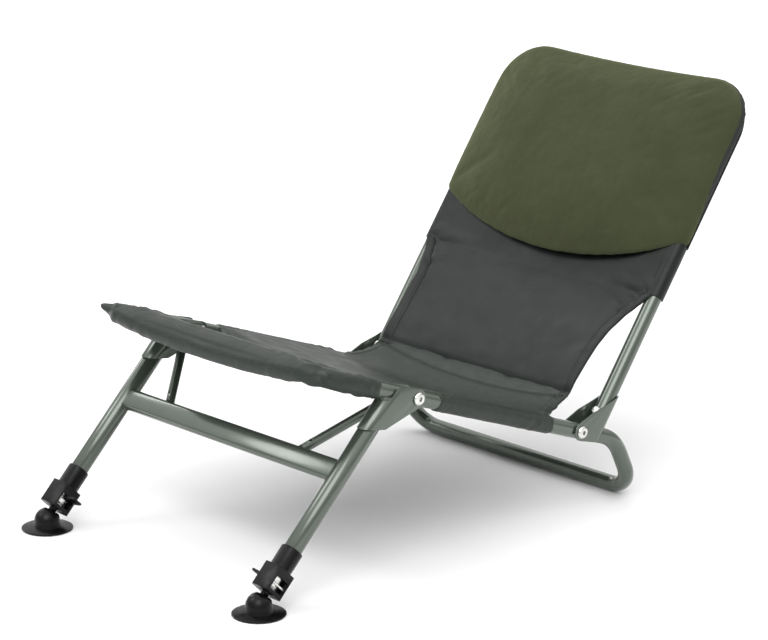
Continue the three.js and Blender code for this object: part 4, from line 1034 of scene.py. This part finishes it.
def cushion_pocket():
    wall = 1.3
    form = Rounded(SLEEVE + SLEEVE_GAP + wall, 0, 300, 0, 0)
    rim = SEAM_ACROSS - SLEEVE_GAP
    margin = 0.75

    def depth(x, y, radius, skip):
        turn = 1 - min(max(form.inside(x, y) - skip, 0) / radius, 1)
        return -BACK_OFFSET - radius * math.sqrt(1 - turn * turn)

    def waves(x, y):
        inner = smooth((form.inside(x, y) - 20) / 30)
        return inner * (1.2 * wrinkled(x, y, 40, 60, 3.0) + 0.5 * wrinkled(x, y, 24, 18, 9.0))

    def inside(x, y):
        return min(depth(x, y, form.radius - wall, wall) + waves(x, y), rim)

    def outside(x, y):
        return min(depth(x, y, form.radius, 0) + waves(x, y), rim)

    obj = height_skin("pocket", form.grid(72, 56, margin), inside, outside, POCKET_CLOTH)
    finished(obj, back, POCKET_CLOTH, "sling_cloth", "cushion_pocket", sharp=60, fill=0.1)
    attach(obj, "backrest")


# Floor, light and camera
FLOOR_SIZE = 80

# The sky's strength, from the horizon up to the height where it is brightest
SKY = (("From Min", 0.0), ("From Max", 0.8), ("To Min", 0.48), ("To Max", 1.5))

# Suns as (name, direction to it, energy, angle)
STUDIO_SUNS = (("key", (0.65, -0.7, 0.95), 1.35, 40), ("glint", (-0.8, -0.75, 1.1), 0.45, 20),
               ("rim", (-0.95, 0.15, 0.45), 0.12, 12))


def studio():
    bpy.ops.mesh.primitive_plane_add(size=FLOOR_SIZE, location=(0, 0, 0))
    floor = bpy.context.object
    floor.name = "floor"
    mat = material("floor_white", (0.86, 0.86, 0.86), 0.6)
    set_input(mat, "Base Color", ramp(mat, noise_of(mat, coordinates(mat), 3, 3), [(0.3, 0.85), (0.7, 0.87)]))
    floor.data.materials.append(mat)
    world = bpy.data.worlds.new("studio")
    bpy.context.scene.world = world
    world.use_nodes = True
    background = world.node_tree.nodes["Background"]
    background.inputs["Color"].default_value = (1, 1, 1, 1)
    place = world.node_tree.nodes.new("ShaderNodeTexCoord")
    parts = world.node_tree.nodes.new("ShaderNodeSeparateXYZ")
    sky = world.node_tree.nodes.new("ShaderNodeMapRange")
    sky.interpolation_type = "SMOOTHSTEP"
    for key, value in SKY:
        sky.inputs[key].default_value = value
    world.node_tree.links.new(place.outputs["Generated"], parts.inputs["Vector"])
    world.node_tree.links.new(parts.outputs["Z"], sky.inputs["Value"])
    world.node_tree.links.new(sky.outputs["Result"], background.inputs["Strength"])
    for name, place, energy, angle in STUDIO_SUNS:
        sun = bpy.data.lights.new(name, "SUN")
        sun.energy = energy
        sun.angle = math.radians(angle)
        lamp = bpy.data.objects.new(name, sun)
        lamp.rotation_euler = Vector(place).to_track_quat("Z", "Y").to_euler()
        bpy.context.collection.objects.link(lamp)
    bpy.context.scene.view_settings.view_transform = "Standard"


def photo_camera():
    azimuth, elevation, roll = (math.radians(a) for a in (47.359, 15.477, 0.185))
    focal_px, distance, side_mm, rise_mm = 3176.043, 4148.451, 306.762, 326.309
    ball_y = next(j["pos_m"][1] for j in frame["joints"] if j["name"] == "foot_tilt_left")
    away = Vector((math.sin(azimuth) * math.cos(elevation), -math.cos(azimuth) * math.cos(elevation),
                   math.sin(elevation)))
    right = Vector((0, 0, 1)).cross(away).normalized()
    up = away.cross(right)
    right, up = (right * math.cos(roll) + up * math.sin(roll), up * math.cos(roll) - right * math.sin(roll))
    place = (away * distance + right * side_mm + up * rise_mm) * MM + Vector((0, ball_y, 0))
    data = bpy.data.cameras.new("photo")
    data.sensor_width = 36
    data.lens = focal_px / IMAGE_WIDTH * data.sensor_width
    data.clip_end = 50
    camera = bpy.data.objects.new("photo", data)
    camera.matrix_world = Matrix.Translation(place) @ Matrix((right, up, away)).transposed().to_4x4()
    bpy.context.collection.objects.link(camera)
    bpy.context.scene.camera = camera


steel_frame()
rigid_nodes()
seat_cloth()
back_cloth()
head_cushion()
cushion_pocket()
studio()
photo_camera()
